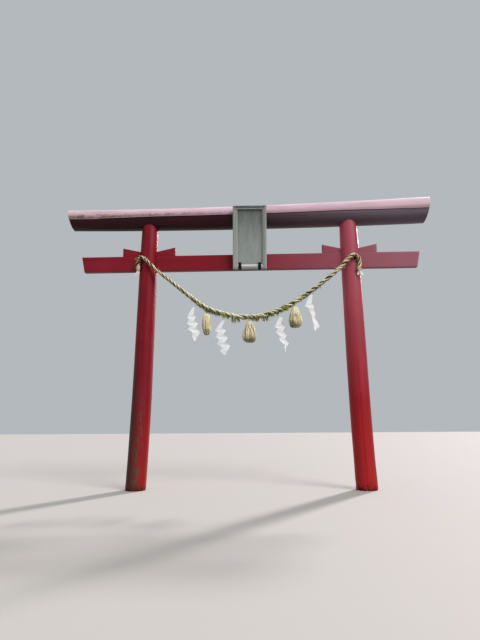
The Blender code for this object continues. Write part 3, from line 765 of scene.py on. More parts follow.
def looseTree():
    sizes = (
        "Density", "Length", "Shortest", "Thickness", "Outward", "Fall", "Along", "Start", "End", "Fade", "Lowest Face"
    )
    add, given = newTree("looseStraws", ("Seed",), sizes)
    facing = add("InputNormal")
    upward = add("SeparateXYZ", [facing], out="Z")
    chosen = add("Math less_than", [upward, given["Lowest Face"]])
    spot = add("InputPosition")
    x = add("SeparateXYZ", [spot])
    # the growth fades out at both ends of its stretch, and comes in clumps of about 60 mm
    rise = add("Math subtract", [x, given["Start"]])
    drop = add("Math subtract", [given["End"], x])
    nearEnd = add("Math minimum", [rise, drop])
    fade = add("MapRange", [nearEnd, 0.0, given["Fade"]])
    clump = add("TexNoise", {"Vector": spot, "Scale": 15.0, "Detail": 2.0})
    clump = add("MapRange", [clump, 0.40, 0.60])
    amount = add("Math multiply", [fade, clump])
    amount = add("Math multiply", [amount, given["Density"]])
    points = add(
        "DistributePointsOnFaces",
        {"Mesh": given["Geometry"], "Selection": chosen, "Density": amount, "Seed": given["Seed"]},
    )
    jitter = add(
        "RandomValue",
        {0: (-0.45, -0.45, -0.45), 1: (0.45, 0.45, 0.45), "Seed": given["Seed"]},
        out=0,
        data_type="FLOAT_VECTOR",
    )
    out = add("VectorMath scale", {0: points.node.outputs["Normal"], "Scale": given["Outward"]})
    coin = add("RandomValue", {2: -1.0, 3: 1.0, "Seed": 21})
    sideways = add("Math multiply", [coin, given["Along"]])
    downward = add("Math multiply", [given["Fall"], -1.0])
    pull = add("CombineXYZ", [sideways, 0.0, downward])
    way = add("VectorMath add", [out, jitter])
    way = add("VectorMath add", [way, pull])
    turn = add("AlignRotationToVector", {"Vector": way})
    size = add("RandomValue", {2: given["Shortest"], 3: 1.25, "Seed": 5})
    reach = add("Math multiply", [size, given["Length"]])
    scale = add("CombineXYZ", [given["Thickness"], given["Thickness"], reach])
    stalk = add("MeshCylinder", {"Vertices": 3, "Side Segments": 3, "Radius": 0.5, "Depth": 1.0})
    height = add("SeparateXYZ", [add("InputPosition")], out="Z")
    lifted = add("Math add", [height, 0.5])
    bent = add("Math power", [lifted, 2.0])
    bent = add("Math multiply", [bent, 3.0])
    lean = add("CombineXYZ", [bent, 0.0, 0.5])
    stalk = add("SetPosition", {"Geometry": stalk, "Offset": lean})
    stalks = add("InstanceOnPoints", {"Points": points, "Instance": stalk, "Rotation": turn, "Scale": scale})
    tone = add("RandomValue", {2: 0.0, 3: 1.0, "Seed": 6})
    stalks = add("StoreNamedAttribute", {"Geometry": stalks, "Name": "tone", "Value": tone}, domain="INSTANCE")
    return closeTree(add, given, stalks)


growthTree = looseTree()
ropeGrowth = []
for seed, (name, (coat, start, end, density, own)) in enumerate(growth["patches"].items()):
    values = {**growth, "Start": start, "End": end, "Density": float(density), "Seed": seed + 3, **own}
    values["Material"] = finishes[coat]
    ropeGrowth.append(grownPiece("rope." + name, ropePiece.data.copy(), growthTree, values))
print("straw and moss grown:", sum(len(piece.data.polygons) for piece in ropeGrowth), "faces")


# The ties at the rope's two ends: hemp wound round the strands, a knot, and two tails

tie = {
    "radius": 0.030, "taper": 0.006, "height": 0.024, "turns": 3, "cord": 0.0046, "tailWidth": 0.034,
    "tailThickness": 0.0024, "tailSway": 0.006, "tailGap": 0.012,
}


def tieTail(start, lean, length, twist, seed):
    rings = []
    for share in spread(0.0, 1.0, 14):
        drop = share * length
        sway = tie["tailSway"] * math.sin(3.0 * share + seed)
        turn = math.radians(twist) * share
        wide = tie["tailWidth"] / 2 * (0.55 + 0.45 * smoothStep(0.0, 0.3, share))
        side = onCircle(turn, 1.0) * wide
        thick = Vector((-math.sin(turn), math.cos(turn), 0.0)) * tie["tailThickness"] / 2
        middle = Vector((math.sin(math.radians(lean)) * drop + sway, 0.5 * sway, -math.cos(math.radians(lean)) * drop))
        middle += start
        front = [middle - side - thick, middle - thick * 1.6, middle + side - thick]
        rings.append(front + [middle + side + thick, middle + thick * 0.4, middle - side + thick])
    return loftPiece("tail", rings, finishes["cord"], 50.0)


def makeTie(name, end, before, tails):  # tails: how far each leans in degrees, and its length
    down = (end - before).normalized()
    turn = Vector((0, 0, -1)).rotation_difference(down).to_matrix()
    coil = []
    for share in spread(0.0, 1.0, 18 * tie["turns"]):
        angle = 2 * math.pi * tie["turns"] * share
        radius = tie["radius"] - tie["taper"] * share
        coil.append(end + turn @ onCircle(angle, radius, tie["height"] * (0.5 - share)))
    pieces = [loftPiece("coil", tubeRings(coil, tie["cord"], 8), finishes["cord"], 60.0)]
    plug = []
    for drop, girth in ((-0.012, 0.9), (0.0, 1.0), (0.010, 0.95), (0.020, 0.7), (0.026, 0.45), (0.030, 0.15)):
        wide = (tie["radius"] - 0.003) * girth
        plug.append([end + turn @ onCircle(2 * math.pi * i / 16, wide, -drop) for i in range(16)])
    pieces.append(loftPiece("plug", plug, finishes["cord"], 60.0))
    knot = end + down * 0.012
    for i, (lean, length) in enumerate(tails):
        start = knot + Vector((0.0, tie["tailGap"] * (i - 0.5), 0.0))
        pieces.append(tieTail(start, lean, length, 30 - 50 * i, 1.7 * i))
    return onGate(joinedPiece("tie." + name, pieces), "white_cord", "rope_tie_" + name)


ties = [
    makeTie("left", ropePath[0], ropePath[3], ((-30.0, 0.115), (10.0, 0.085))),
    makeTie("right", ropePath[-1], ropePath[-4], ((32.0, 0.110), (-8.0, 0.085))),
]
onGate(ropePiece, "straw", "rope")
for piece in ropeGrowth:
    onGate(piece, "straw")
tuple(ropePath[0])
[tuple(p) for p in ropePath]
print("rope tied at both ends")

# The posts: barked cedar trunks, shaved round, with drying cracks, knots and a worn foot

posts = {
    "sides": 96,
    "rings": 150,
    "unevenness": 0.0030,
    "wander": 3.0,
    "crackWidth": 1.3,
    "topSink": 0.003,
    "fluteDepth": 0.0012,
    "knotRim": 0.004,
    "knotHollow": 0.004,
    "footChamfer": 0.010,
    "chamferHeight": 0.02,
    "footRot": {-1: 0.010, 1: 0.020},
    "rotHeight": 0.16,
    # each crack: direction round the post in degrees, lower end, upper end, depth
    "cracks": {
        -1: ((-128, 0.0, 1.9, 0.007), (-84, 0.5, 1.5, 0.004), (-30, 1.6, 3.2, 0.004), (70, 0.0, 2.6, 0.008)),
        1: ((-95, 0.0, 2.3, 0.007), (-150, 0.0, 0.9, 0.006), (-40, 0.2, 1.1, 0.004), (100, 0.4, 3.0, 0.008)),
    },
    # each knot: direction round the post in degrees, height, radius
    "knots": {
        -1: ((-100, 2.62, 0.030), (-60, 1.20, 0.024), (-118, 0.72, 0.028), (120, 2.0, 0.032), (20, 1.5, 0.026)),
        1: ((-80, 3.05, 0.026), (-110, 1.75, 0.030), (-50, 0.80, 0.024), (60, 2.4, 0.030), (150, 1.2, 0.026)),
    },
}


def turnsWith(sides, cracks, width):  # even directions, with extra ones that draw each crack
    turns = [360 * i / sides - 180 for i in range(sides)]
    for crack in cracks:
        turns = [t for t in turns if abs(t - crack[0]) > width * 1.6]
        turns += [crack[0] + width * share for share in (-1.0, -0.35, 0.35, 1.0)]
    return sorted(turns)


def crackDepth(turn, along, cracks, width):
    depth = 0.0
    for middle, low, high, deep in cracks:
        inside = max(0.0, 1.0 - abs(turn - middle) / width)
        gape = 0.65 + 0.6 * noise.noise(Vector((along * 3.0, middle, 0.0)))
        fade = smoothStep(low - 0.15, low + 0.1, along) * (1 - smoothStep(high - 0.4, high, along))
        depth = max(depth, deep * gape * fade * min(1.0, inside * 1.5))
    return depth


def knotRelief(turn, height, radius, knots):  # a low rim round a sunken middle
    relief = 0.0
    for middle, centre, size in knots:
        across = math.radians((turn - middle + 180) % 360 - 180) * radius
        away = math.hypot(across, (height - centre) * 0.75) / size
        if away < 2.0:
            rim = posts["knotRim"] * math.exp(-((away - 0.9) ** 2) * 9)
            relief += rim - posts["knotHollow"] * math.exp(-((away / 0.55) ** 2))
    return relief


def makePost(name, side):
    cracks, knots = posts["cracks"][side], posts["knots"][side]
    turns = turnsWith(posts["sides"], cracks, posts["crackWidth"])
    tops = []
    for turn in turns:
        height = gate["height"] - 0.2
        for _ in range(6):
            x = postCentre(side, height) + postRadius(side, height) * math.cos(math.radians(turn))
            height = logUnderside(x, postRadius(side, height) * math.sin(math.radians(turn)))
        tops.append(height + posts["topSink"])
    rings = []
    for share in spread(0.0, 1.0, posts["rings"]):
        share = share**1.15
        ring = []
        for turn, top in zip(turns, tops):
            height = share * top
            wander = posts["wander"] * noise.noise(Vector((height * 0.6, side * 5.0, 0.0)))
            angle = math.radians(turn + wander)
            radius = postRadius(side, height)
            uneven = 0.5 + 0.5 * noise.fractal(onCircle(angle, 2.0, height * 1.1 + side * 9.0), 1.0, 2.0, 3)
            flutes = 0.5 + 0.5 * noise.noise(onCircle(angle, 14, height * 0.8))
            radius -= posts["unevenness"] * uneven + posts["fluteDepth"] * flutes
            radius += knotRelief(turn, height, radius, knots) - crackDepth(turn, height, cracks, posts["crackWidth"])
            foot = 1.0 - smoothStep(0.0, posts["rotHeight"], height)
            rot = max(0.0, noise.fractal(onCircle(angle, 3, height * 6), 1.0, 2.0, 4))
            radius -= posts["footRot"][side] * foot * rot * 2.2
            radius -= posts["footChamfer"] * (1.0 - smoothStep(0.0, posts["chamferHeight"], height))
            ring.append(
                Vector((postCentre(side, height) + radius * math.cos(angle), radius * math.sin(angle), height))
            )
        rings.append(ring)
    middle = postCentre(side, min(tops))
    inner = [(middle + (p.x - middle) * 0.5, p.y * 0.5) for p in rings[-1]]
    rings.append([Vector((x, y, logUnderside(x, y))) for x, y in inner])
    finish = finishes["postLeftPaint" if side < 0 else "postRightPaint"]
    return onGate(loftPiece("post." + name, rings, finish, 50.0), "red_paint", "post_" + name)


makePost("left", -1)
makePost("right", 1)
print("posts stand")


# The log on top: a tapered trunk with a slight bow, sawn at a slant at both ends

log = {
    "sides": 96,
    "stations": 150,
    "unevenness": 0.0035,
    "crackWidth": 1.4,
    "slantReach": 0.30,
    "endRings": 9,
    "ringDepth": 0.0012,
    "checkDepth": 0.010,
    "checkWidth": 0.05,
    # each crack: direction round the log in degrees, where it starts and ends along the gate, depth
    "cracks": ((-112, -1.0, 1.6, 0.008), (-70, 1.9, 4.2, 0.007), (-160, 2.6, 4.9, 0.006), (-35, -1.4, 0.9, 0.008)),
}


def endLean(x):  # how far a section leans out with height: the two ends are slanted
    left = gate["logLeftSlant"] * max(0.0, 1 - (x - logStart) / log["slantReach"])
    right = gate["logRightSlant"] * max(0.0, 1 - (logEnd - x) / log["slantReach"])
    return right - left


def logPoint(x, turn, radius):
    height = radius * math.sin(math.radians(turn))
    return Vector((x + endLean(x) * height, radius * math.cos(math.radians(turn)), logAxis(x) + height))


def makeLog():
    turns = turnsWith(log["sides"], log["cracks"], log["crackWidth"])
    rings = []
    for x in spread(logStart, logEnd, log["stations"]):
        ring = []
        for turn in turns:
            angle = math.radians(turn)
            uneven = noise.fractal(Vector((x * 1.2, math.cos(angle) * 2.2, math.sin(angle) * 2.2)), 1.0, 2.0, 3)
            radius = logRadius(x) - 0.0005 - log["unevenness"] * (0.5 + 0.5 * uneven)
            radius -= crackDepth(turn, x, log["cracks"], log["crackWidth"])
            ring.append(logPoint(x, turn, radius))
        rings.append(ring)
    for x, outward in ((logStart, -1), (logEnd, 1)):  # sawn ends, with growth rings and checks from the heart
        face = []
        for i in range(1, log["endRings"] + 1):
            share = 1 - i / (log["endRings"] + 1)
            ring = []
            for turn in turns:
                seam = abs(noise.noise(onCircle(math.radians(turn), 2.6, x)))
                check = log["checkDepth"] * max(0.0, 1 - seam / log["checkWidth"]) * math.sin(math.pi * share)
                point = logPoint(x, turn, (logRadius(x) - 0.003) * share)
                point.x -= outward * (check + log["ringDepth"] * (i % 2))
                ring.append(point)
            face.append(ring)
        rings = face[::-1] + rings if outward < 0 else rings + face
    return onGate(loftPiece("log.top", rings, finishes["logPaintAndShade"], 45.0), "red_paint", "kasagi_log")


makeLog()
print("log laid")


# Sheet steel bent over the log in three lengths: rolled hems, lapped seams, shallow dents, roofing nails

sheets = {
    "thickness": 0.0015,
    "gap": 0.0026,
    "lap": 0.016,
    "lapRise": 0.0018,
    "hemRadius": 0.0042,
    "dents": 0.0011,
    "arcSteps": 44,
    "stationGap": 0.045,
    # each length: where it starts and ends, and how far its hems wrap below the log's sides at places along it
    "left": {"start": logStart, "end": logStart + 0.53, "wraps": ((-1.33, 9.5), (-0.80, 9.0))},
    "middle": {"start": logStart + 0.53, "end": logEnd - 1.38, "wraps": ((-0.80, 6.0), (0.35, 0.5), (3.6, 0.2))},
    "right": {"start": logEnd - 1.38, "end": logEnd, "wraps": ((3.53, 1.2), (4.20, 5.0), (4.92, 8.5))},
    "nailGap": 0.24,
    "nailEnd": 0.05,
    "seamInset": 0.006,
    "nailRise": 0.026,
    "nailSize": 0.0065,
}


def sheetDent(x, turn):
    angle = math.radians(turn)
    soft = noise.noise(Vector((x * 2.3, math.cos(angle) * 1.5, math.sin(angle) * 1.5 + 20)))
    sharp = noise.noise(Vector((x * 9.0, math.cos(angle) * 4, math.sin(angle) * 4 + 50)))
    return sheets["dents"] * (soft + 0.25 * sharp)


def sheetRing(x, wrap, rise):
    base = logRadius(x) + sheets["gap"] + rise
    outer = base + sheets["thickness"]
    turns = spread(-wrap, 180 + wrap, sheets["arcSteps"])
    reach = math.radians(90 + wrap) * outer
    hem = []
    ring = []
    for turn in turns:
        ring.append(logPoint(x, turn, outer + sheetDent(x, turn)))
        hem.append(reach - abs(math.radians(turn - 90)) * outer)
    for end, way in ((180 + wrap, 1), (-wrap, -1)):  # the hem's roll, then the inner side back to the other hem
        for roll in range(-40, 213, 36)[::way]:
            angle = math.radians(roll)
            out = sheets["hemRadius"] * math.cos(angle) + sheets["thickness"]
            along = sheets["hemRadius"] * (math.sin(angle) + 0.6)
            ring.append(logPoint(x, end + way * math.degrees(along / outer), base + out))
            hem.append(0.0)
        if way > 0:
            for turn in turns[-2:0:-1]:
                ring.append(logPoint(x, turn, base + sheetDent(x, turn)))
                hem.append(0.1)
    return ring, hem


def makeSheet(name):
    part = sheets[name]
    lapped = name != "middle"
    start, end = part["start"], part["end"]
    if name == "left":
        end += sheets["lap"]
    if name == "right":
        start -= sheets["lap"]
    count = max(int((end - start) / sheets["stationGap"]), 8)
    rings, hems = [], []
    for x in spread(start, end, count):
        ring, hem = sheetRing(x, eased(part["wraps"], x), sheets["lapRise"] if lapped else 0.0)
        rings.append(ring)
        hems += hem
    piece = loftPiece("capSheet." + name, rings, finishes["sheet"], 40.0, {"hem": hems})
    return onGate(piece, "red_sheet", "cap_sheet_" + name)


for name in ("left", "middle", "right"):
    makeSheet(name)


def domeTree():
    add, given = newTree("domeHeads", ("Segments",), ("Size", "Flatness"))
    facing = add("InputNamedAttribute", {"Name": "facing"}, data_type="FLOAT_VECTOR")
    turn = add("AlignRotationToVector", {"Vector": facing})
    dome = add("MeshUVSphere", {"Segments": given["Segments"], "Rings": 6, "Radius": 1.0})
    dome = add("SetShadeSmooth", {"Geometry": dome})
    tall = add("Math multiply", [given["Size"], given["Flatness"]])
    size = add("CombineXYZ", [given["Size"], given["Size"], tall])
    heads = add("InstanceOnPoints", {"Points": given["Geometry"], "Instance": dome, "Rotation": turn, "Scale": size})
    return closeTree(add, given, heads)


headTree = domeTree()


def makeHeads(name, spots, size, flatness, finish):  # nail or bolt heads at points that each face some way
    mesh = bpy.data.meshes.new(name + "Points")
    mesh.from_pydata([tuple(spot) for spot, _ in spots], [], [])
    facing = mesh.attributes.new("facing", "FLOAT_VECTOR", "POINT")
    facing.data.foreach_set("vector", [value for _, way in spots for value in way])
    values = {"Size": size, "Flatness": flatness, "Segments": 10, "Material": finish}
    return grownPiece(name, mesh, headTree, values)


def sheetNails():
    spots = []
    for name in ("left", "middle", "right"):
        part = sheets[name]
        rise = 0.0 if name == "middle" else sheets["lapRise"]
        radius = sheets["gap"] + sheets["thickness"] + rise
        count = max(int((part["end"] - part["start"]) / sheets["nailGap"]), 3)
        for x in spread(part["start"] + sheets["nailEnd"], part["end"] - sheets["nailEnd"], count):
            for base, way in ((-eased(part["wraps"], x), 1), (180 + eased(part["wraps"], x), -1)):
                turn = base + way * math.degrees(sheets["nailRise"] / logRadius(x))
                spots.append((logPoint(x, turn, logRadius(x) + radius), logPoint(0, turn, 1) - logPoint(0, 0, 0)))
        if name != "middle":
            inset = sheets["seamInset"]
            x = part["end"] - inset if name == "left" else part["start"] + inset
            for turn in range(20, 170, 26):
                spots.append((logPoint(x, turn, logRadius(x) + radius), logPoint(0, turn, 1) - logPoint(0, 0, 0)))
    return onGate(makeHeads("capSheet.nails", spots, sheets["nailSize"], 0.4, finishes["sheet"]), "red_sheet")


sheetNails()
print("sheets bent over the log")

# Squared timber: the tie beam, its four wedges and the strut behind the plaque

timber = {
    "bevel": 0.003,
    "relief": 0.0010,
    "step": 0.022,
    "wedgeLength": {"Outer": 0.299, "Inner": 0.315},
    "wedgeEndHeight": 0.152,
    "wedgeSlope": 0.225,
    "wedgeThickness": 0.082,
    "wedgeSink": 0.002,
    "strutWidth": 0.150,
    "strutLength": 0.4,
}


def barSection(height, thickness, bevel, step):  # points round a squared section, each with the way it faces
    halfHigh, halfThick = height / 2 - bevel, thickness / 2 - bevel
    arcs = []
    for i, (up, across) in enumerate(((1, 1), (-1, 1), (-1, -1), (1, -1))):
        arc = []
        for turn in range(90 * i, 90 * i + 91, 30):
            way = onCircle(math.radians(turn), 1.0).to_2d()
            arc.append((Vector((up * halfHigh, across * halfThick)) + way * bevel, way))
        arcs.append(arc)
    section = []
    for arc, following in zip(arcs, arcs[1:] + arcs[:1]):
        section += arc
        start, end = arc[-1][0], following[0][0]
        count = max(int((end - start).length / step), 1)
        section += [(start.lerp(end, i / count), arc[-1][1]) for i in range(1, count)]
    return section


def timberBar(name, size, place, finish, seed):  # size is length, height and thickness; place puts a point on the gate
    length, height, thickness = size
    bevel = timber["bevel"]
    section = barSection(height, thickness, bevel, timber["step"])
    stations = [(0.0, bevel), (bevel * 0.3, bevel * 0.3), (bevel, 0.0)]
    stations += [(x, 0.0) for x in spread(bevel, length - bevel, max(int(length / 0.04), 4))[1:-1]]
    stations += [(length - bevel, 0.0), (length - bevel * 0.3, bevel * 0.3), (length, bevel)]
    rings = []
    for along, inset in stations:
        ring = []
        for point, way in section:
            uneven = noise.fractal(Vector((along * 1.4 + seed, point.x * 22, point.y * 22)), 1.0, 2.0, 3)
            point = point - way * (inset + timber["relief"] * (0.5 + 0.5 * uneven))
            ring.append(place(along, point.x, point.y))
        rings.append(ring)
    return loftPiece(name, rings, finish, 40.0)


def beamPlace(along, up, across):
    high = beamBottom + gate["beamHeight"] / 2 + up
    slant = gate["beamEndSlant"] * (gate["beamTop"] - high) / gate["beamHeight"]
    left = gate["postSpacing"] / 2 - gate["beamLength"] / 2 + slant
    share = along / gate["beamLength"]
    return Vector((left + (gate["beamLength"] - 2 * slant) * share, across, high))


def makeWedge(side, way):
    centre = postCentre(side, gate["beamTop"])
    face = postRadius(side, gate["beamTop"])
    start = face * 0.4
    end = timber["wedgeEndHeight"]
    kind = "Outer" if way == side else "Inner"
    length = face + timber["wedgeLength"][kind] - start

    def place(along, up, across):
        local = end - timber["wedgeSlope"] * (length - along)
        rise = (up / end + 0.5) * (local + timber["wedgeSink"])
        return Vector((centre + way * (start + along), across, gate["beamTop"] - timber["wedgeSink"] + rise))

    post = "left" if side < 0 else "right"
    size = (length, end, timber["wedgeThickness"])
    piece = timberBar("wedge." + post + kind, size, place, finishes["beamPaint"], 3.0 * side + way)
    return onGate(piece, "red_paint", "wedge_" + post + "_" + kind.lower())


beam = (gate["beamLength"], gate["beamHeight"], gate["beamThickness"])
onGate(timberBar("tieBeam", beam, beamPlace, finishes["beamPaint"], 0.0), "red_paint", "nuki_beam")
for side in (-1, 1):
    for way in (-1, 1):
        makeWedge(side, way)


# The name plaque, in its own frame: x across, y back, z up its face, from the middle of its lower front edge

plaque = {
    "width": 0.576,
    "height": 1.091,
    "depth": 0.060,
    "x": gate["postSpacing"] / 2 + 0.016,
    "y": -(gate["beamThickness"] / 2 + 0.087),
    "z": beamBottom - 0.0195,
    "lean": 10.0,
    "roll": 0.5,
    "rail": 0.083,
    "recess": 0.030,
    "panelThickness": 0.018,
    "panelGap": 0.0005,
    # the rail's moulding, from its outer to its inner edge: across, depth
    "moulding": (
        (0.0, 0.060), (0.0, 0.006), (0.0018, 0.0022), (0.006, 0.0), (0.042, 0.0), (0.0445, 0.0012), (0.0460, 0.0040),
        (0.0490, 0.0072), (0.0520, 0.0050), (0.0560, 0.0014), (0.0600, 0.0018), (0.0650, 0.0050), (0.0690, 0.0105),
        (0.0730, 0.0175), (0.0780, 0.0235), (0.0825, 0.0265), (0.083, 0.0285), (0.083, 0.060),
    ),
    "strapSpacing": 0.335,
    "strapBevel": 0.0014,
    "strapFront": 0.0065,
    # how high the bolts are, on the frame above its lower edge and on the beam above its underside
    "boltHeights": {"frame": (0.030, 0.092), "beam": (0.045, 0.105)},
    "boltSize": 0.0085,
    "staySpacing": 0.30,
    "stayRadius": 0.007,
    "stayDrop": 0.045,
}
plaqueMatrix = (
    Matrix.Translation((plaque["x"], plaque["y"], plaque["z"]))
    @ Matrix.Rotation(math.radians(plaque["lean"]), 4, "X")
    @ Matrix.Rotation(math.radians(plaque["roll"]), 4, "Y")
)


def strutPlace(along, up, across):
    low = gate["beamTop"] + 0.0005
    top = logUnderside(plaque["x"] + up, across)
    return Vector((plaque["x"] + up, across, low + (top - low) * along / timber["strutLength"]))


strut = (timber["strutLength"], timber["strutWidth"], gate["beamThickness"])
onGate(timberBar("strut", strut, strutPlace, finishes["strutPaint"], 5.0), "red_paint", "gakuzuka_strut")


def makeRail(name, length, turn, middle, finish):  # one mitred length of the plaque's moulded frame
    local = plaqueMatrix @ Matrix.Translation(middle) @ Matrix.Rotation(math.radians(turn), 4, "Y")
    rings = []
    for share in spread(-1.0, 1.0, 26):
        ring = []
        for across, depth in plaque["moulding"]:
            half = length / 2 - across - 0.0006
            dent = 0.0007 * noise.noise(Vector((share * half * 9, across * 60, turn + depth * 30)))
            ring.append(local @ Vector((share * half, depth + abs(dent), across)))
        rings.append(ring)
    piece = loftPiece("plaqueRail." + name, rings, finish, 38.0)
    return onGate(piece, "plaque_wood", "plaque_rail_" + name)


wide, tall = plaque["width"], plaque["height"]
makeRail("bottom", wide, 0, Vector((0, 0, 0)), finishes["frameLevel"])
makeRail("top", wide, 180, Vector((0, 0, tall)), finishes["frameLevel"])
makeRail("left", tall, 90, Vector((-wide / 2, 0, tall / 2)), finishes["frame"])
makeRail("right", tall, -90, Vector((wide / 2, 0, tall / 2)), finishes["frame"])


def panelPlace(along, up, across):
    z = plaque["rail"] + plaque["panelGap"] + along
    return plaqueMatrix @ Vector((up, plaque["recess"] + plaque["panelThickness"] / 2 + across, z))


inner = 2 * (plaque["rail"] + plaque["panelGap"])
panel = (tall - inner, wide - inner, plaque["panelThickness"])
onGate(timberBar("plaquePanel", panel, panelPlace, finishes["panel"], 8.0), "plaque_wood", "plaque_panel")


def softCopy(name, node, width, finish):  # a CAD solid with its edges worn round
    shape = bmesh.new()
    shape.from_mesh(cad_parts[node].data)
    bmesh.ops.remove_doubles(shape, verts=shape.verts[:], dist=0.00002)
    bmesh.ops.dissolve_limit(shape, angle_limit=math.radians(1.0), verts=shape.verts[:], edges=shape.edges[:])
    edges = [e for e in shape.edges if len(e.link_faces) == 2 and e.calc_face_angle() > math.radians(25)]
    bmesh.ops.bevel(shape, geom=edges, offset=width, segments=2, profile=0.5, affect="EDGES", clamp_overlap=True)
    mesh = bpy.data.meshes.new(name)
    shape.to_mesh(mesh)
    shape.free()
    finishMesh(mesh, finish, 35.0)
    return addObject(name, mesh)


front = plaqueMatrix.to_3x3() @ Vector((0, -1, 0))
bolts = []
for name, side in (("left", -1), ("right", 1)):
    x = side * plaque["strapSpacing"] / 2
    piece = softCopy("strap." + name, "plaque_strap_" + name, plaque["strapBevel"], finishes["iron"])
    onGate(piece, "iron", "plaque_strap_" + name)
    for height in plaque["boltHeights"]["frame"]:
        bolts.append((plaqueMatrix @ Vector((x, -plaque["strapFront"], height)), front))
    for height in plaque["boltHeights"]["beam"]:
        y = -gate["beamThickness"] / 2 - plaque["strapFront"]
        spot = Vector((plaque["x"] + x, y, beamBottom + height))
        bolts.append((spot, Vector((0, -1, 0))))


def plaqueBack(x, z):
    origin = plaqueMatrix @ Vector((0, plaque["depth"], 0))
    facing = plaqueMatrix.to_3x3() @ Vector((0, 1, 0))
    return origin.y - (facing.x * (x - origin.x) + facing.z * (z - origin.z)) / facing.y


for name, side in (("left", -1), ("right", 1)):  # the stays that hold the plaque's top, each on a small plate
    x = plaque["x"] + side * plaque["staySpacing"] / 2
    z = logAxis(x) - plaque["stayDrop"]
    back = plaqueBack(x, z)
    face = -math.sqrt(logRadius(x) ** 2 - plaque["stayDrop"] ** 2) + 0.004
    rod = [Vector((x, y, z)) for y in spread(face, back + 0.0006, 8)]
    pieces = [loftPiece("rod", tubeRings(rod, plaque["stayRadius"], 14), finishes["iron"], 40.0)]
    normal = plaqueMatrix.to_3x3() @ Vector((0, 1, 0))
    spot = Vector((x, back, z))
    plate = [spot + normal * d for d in (0.0006, 0.0012, 0.0042, 0.0052)]
    pieces.append(loftPiece("plate", tubeRings(plate, [0.021, 0.023, 0.023, 0.020], 20), finishes["iron"], 40.0))
    onGate(joinedPiece("stay." + name, pieces), "iron", "plaque_hanger_" + name)
onGate(makeHeads("strap.bolts", bolts, plaque["boltSize"], 0.5, finishes["iron"]), "iron")


# The hooks that carry the rope: round bar, driven into the post and turned up at the tip

hook = {"radius": 0.008, "reach": 0.110, "tip": 0.050, "gap": 0.0003}


def makeHook(name, side, peak):
    radius = hook["radius"]
    surface = -math.sqrt(postRadius(side, peak.z) ** 2 - (peak.x - postCentre(side, peak.z)) ** 2)
    height = peak.z - rope["diameter"] / 2 - radius - hook["gap"]
    front = surface - hook["reach"]
    path = [Vector((peak.x, y, height)) for y in spread(surface + 0.002, front + radius, 10)]
    centre = path[-1]
    for turn in range(15, 91, 15):
        angle = math.radians(turn)
        path.append(centre + Vector((0, -2 * radius * math.sin(angle), 2 * radius * (1 - math.cos(angle)))))
    path += [path[-1] + Vector((0, 0, rise)) for rise in spread(0.008, hook["tip"], 7)]
    sizes = [radius * (1.0 if i < len(path) - 5 else 1.0 - 0.09 * (i - len(path) + 6)) for i in range(len(path))]
    pieces = [loftPiece("bar", tubeRings(path, sizes, 14), finishes["iron"], 40.0)]
    plate = [Vector((peak.x, surface + d, height)) for d in (0.0, -0.001, -0.004, -0.005)]
    pieces.append(loftPiece("plate", tubeRings(plate, [0.020, 0.022, 0.022, 0.019], 20), finishes["iron"], 40.0))
    return onGate(joinedPiece("ropeHook." + name, pieces), "iron", "rope_hook_" + name)


peaks = [Vector((x, y, beamBottom + z)) for x, y, z in (ropeRoute[4], ropeRoute[-5])]
makeHook("left", -1, peaks[0])
makeHook("right", 1, peaks[1])
print("beam, plaque and iron in place")

# The tassels: straw gathered under the rope, bowed out and curled in again at the bottom

tassels = {
    "straws": 165,
    "strawRadius": 0.0030,
    "clump": 0.16,
    "depth": 0.09,
    "wander": 0.07,
    "core": 0.84,
    "top": 0.04,
    "loopRadius": 0.009,
    # each outline: how far down, and the girth there as a share of the widest
    "long": (
        (0.0, 0.34), (0.04, 0.58), (0.14, 0.80), (0.34, 0.95), (0.55, 1.0), (0.80, 0.90), (0.94, 0.74), (1.0, 0.50),
    ),
    "drop": (
        (0.0, 0.24), (0.04, 0.42), (0.16, 0.56), (0.42, 0.82), (0.72, 1.0), (0.88, 0.92), (0.96, 0.74), (1.0, 0.48),
    ),
    "left": {"x": 1.112, "length": 0.352, "width": 0.142, "outline": "long", "neck": 0.060, "seed": 4},
    "middle": {"x": 1.820, "length": 0.342, "width": 0.232, "outline": "drop", "neck": 0.040, "seed": 5},
    "right": {"x": 2.576, "length": 0.340, "width": 0.222, "outline": "drop", "neck": 0.046, "seed": 9},
}
goldenTurn = 2.39996  # in radians: it spreads the straws evenly round the bundle


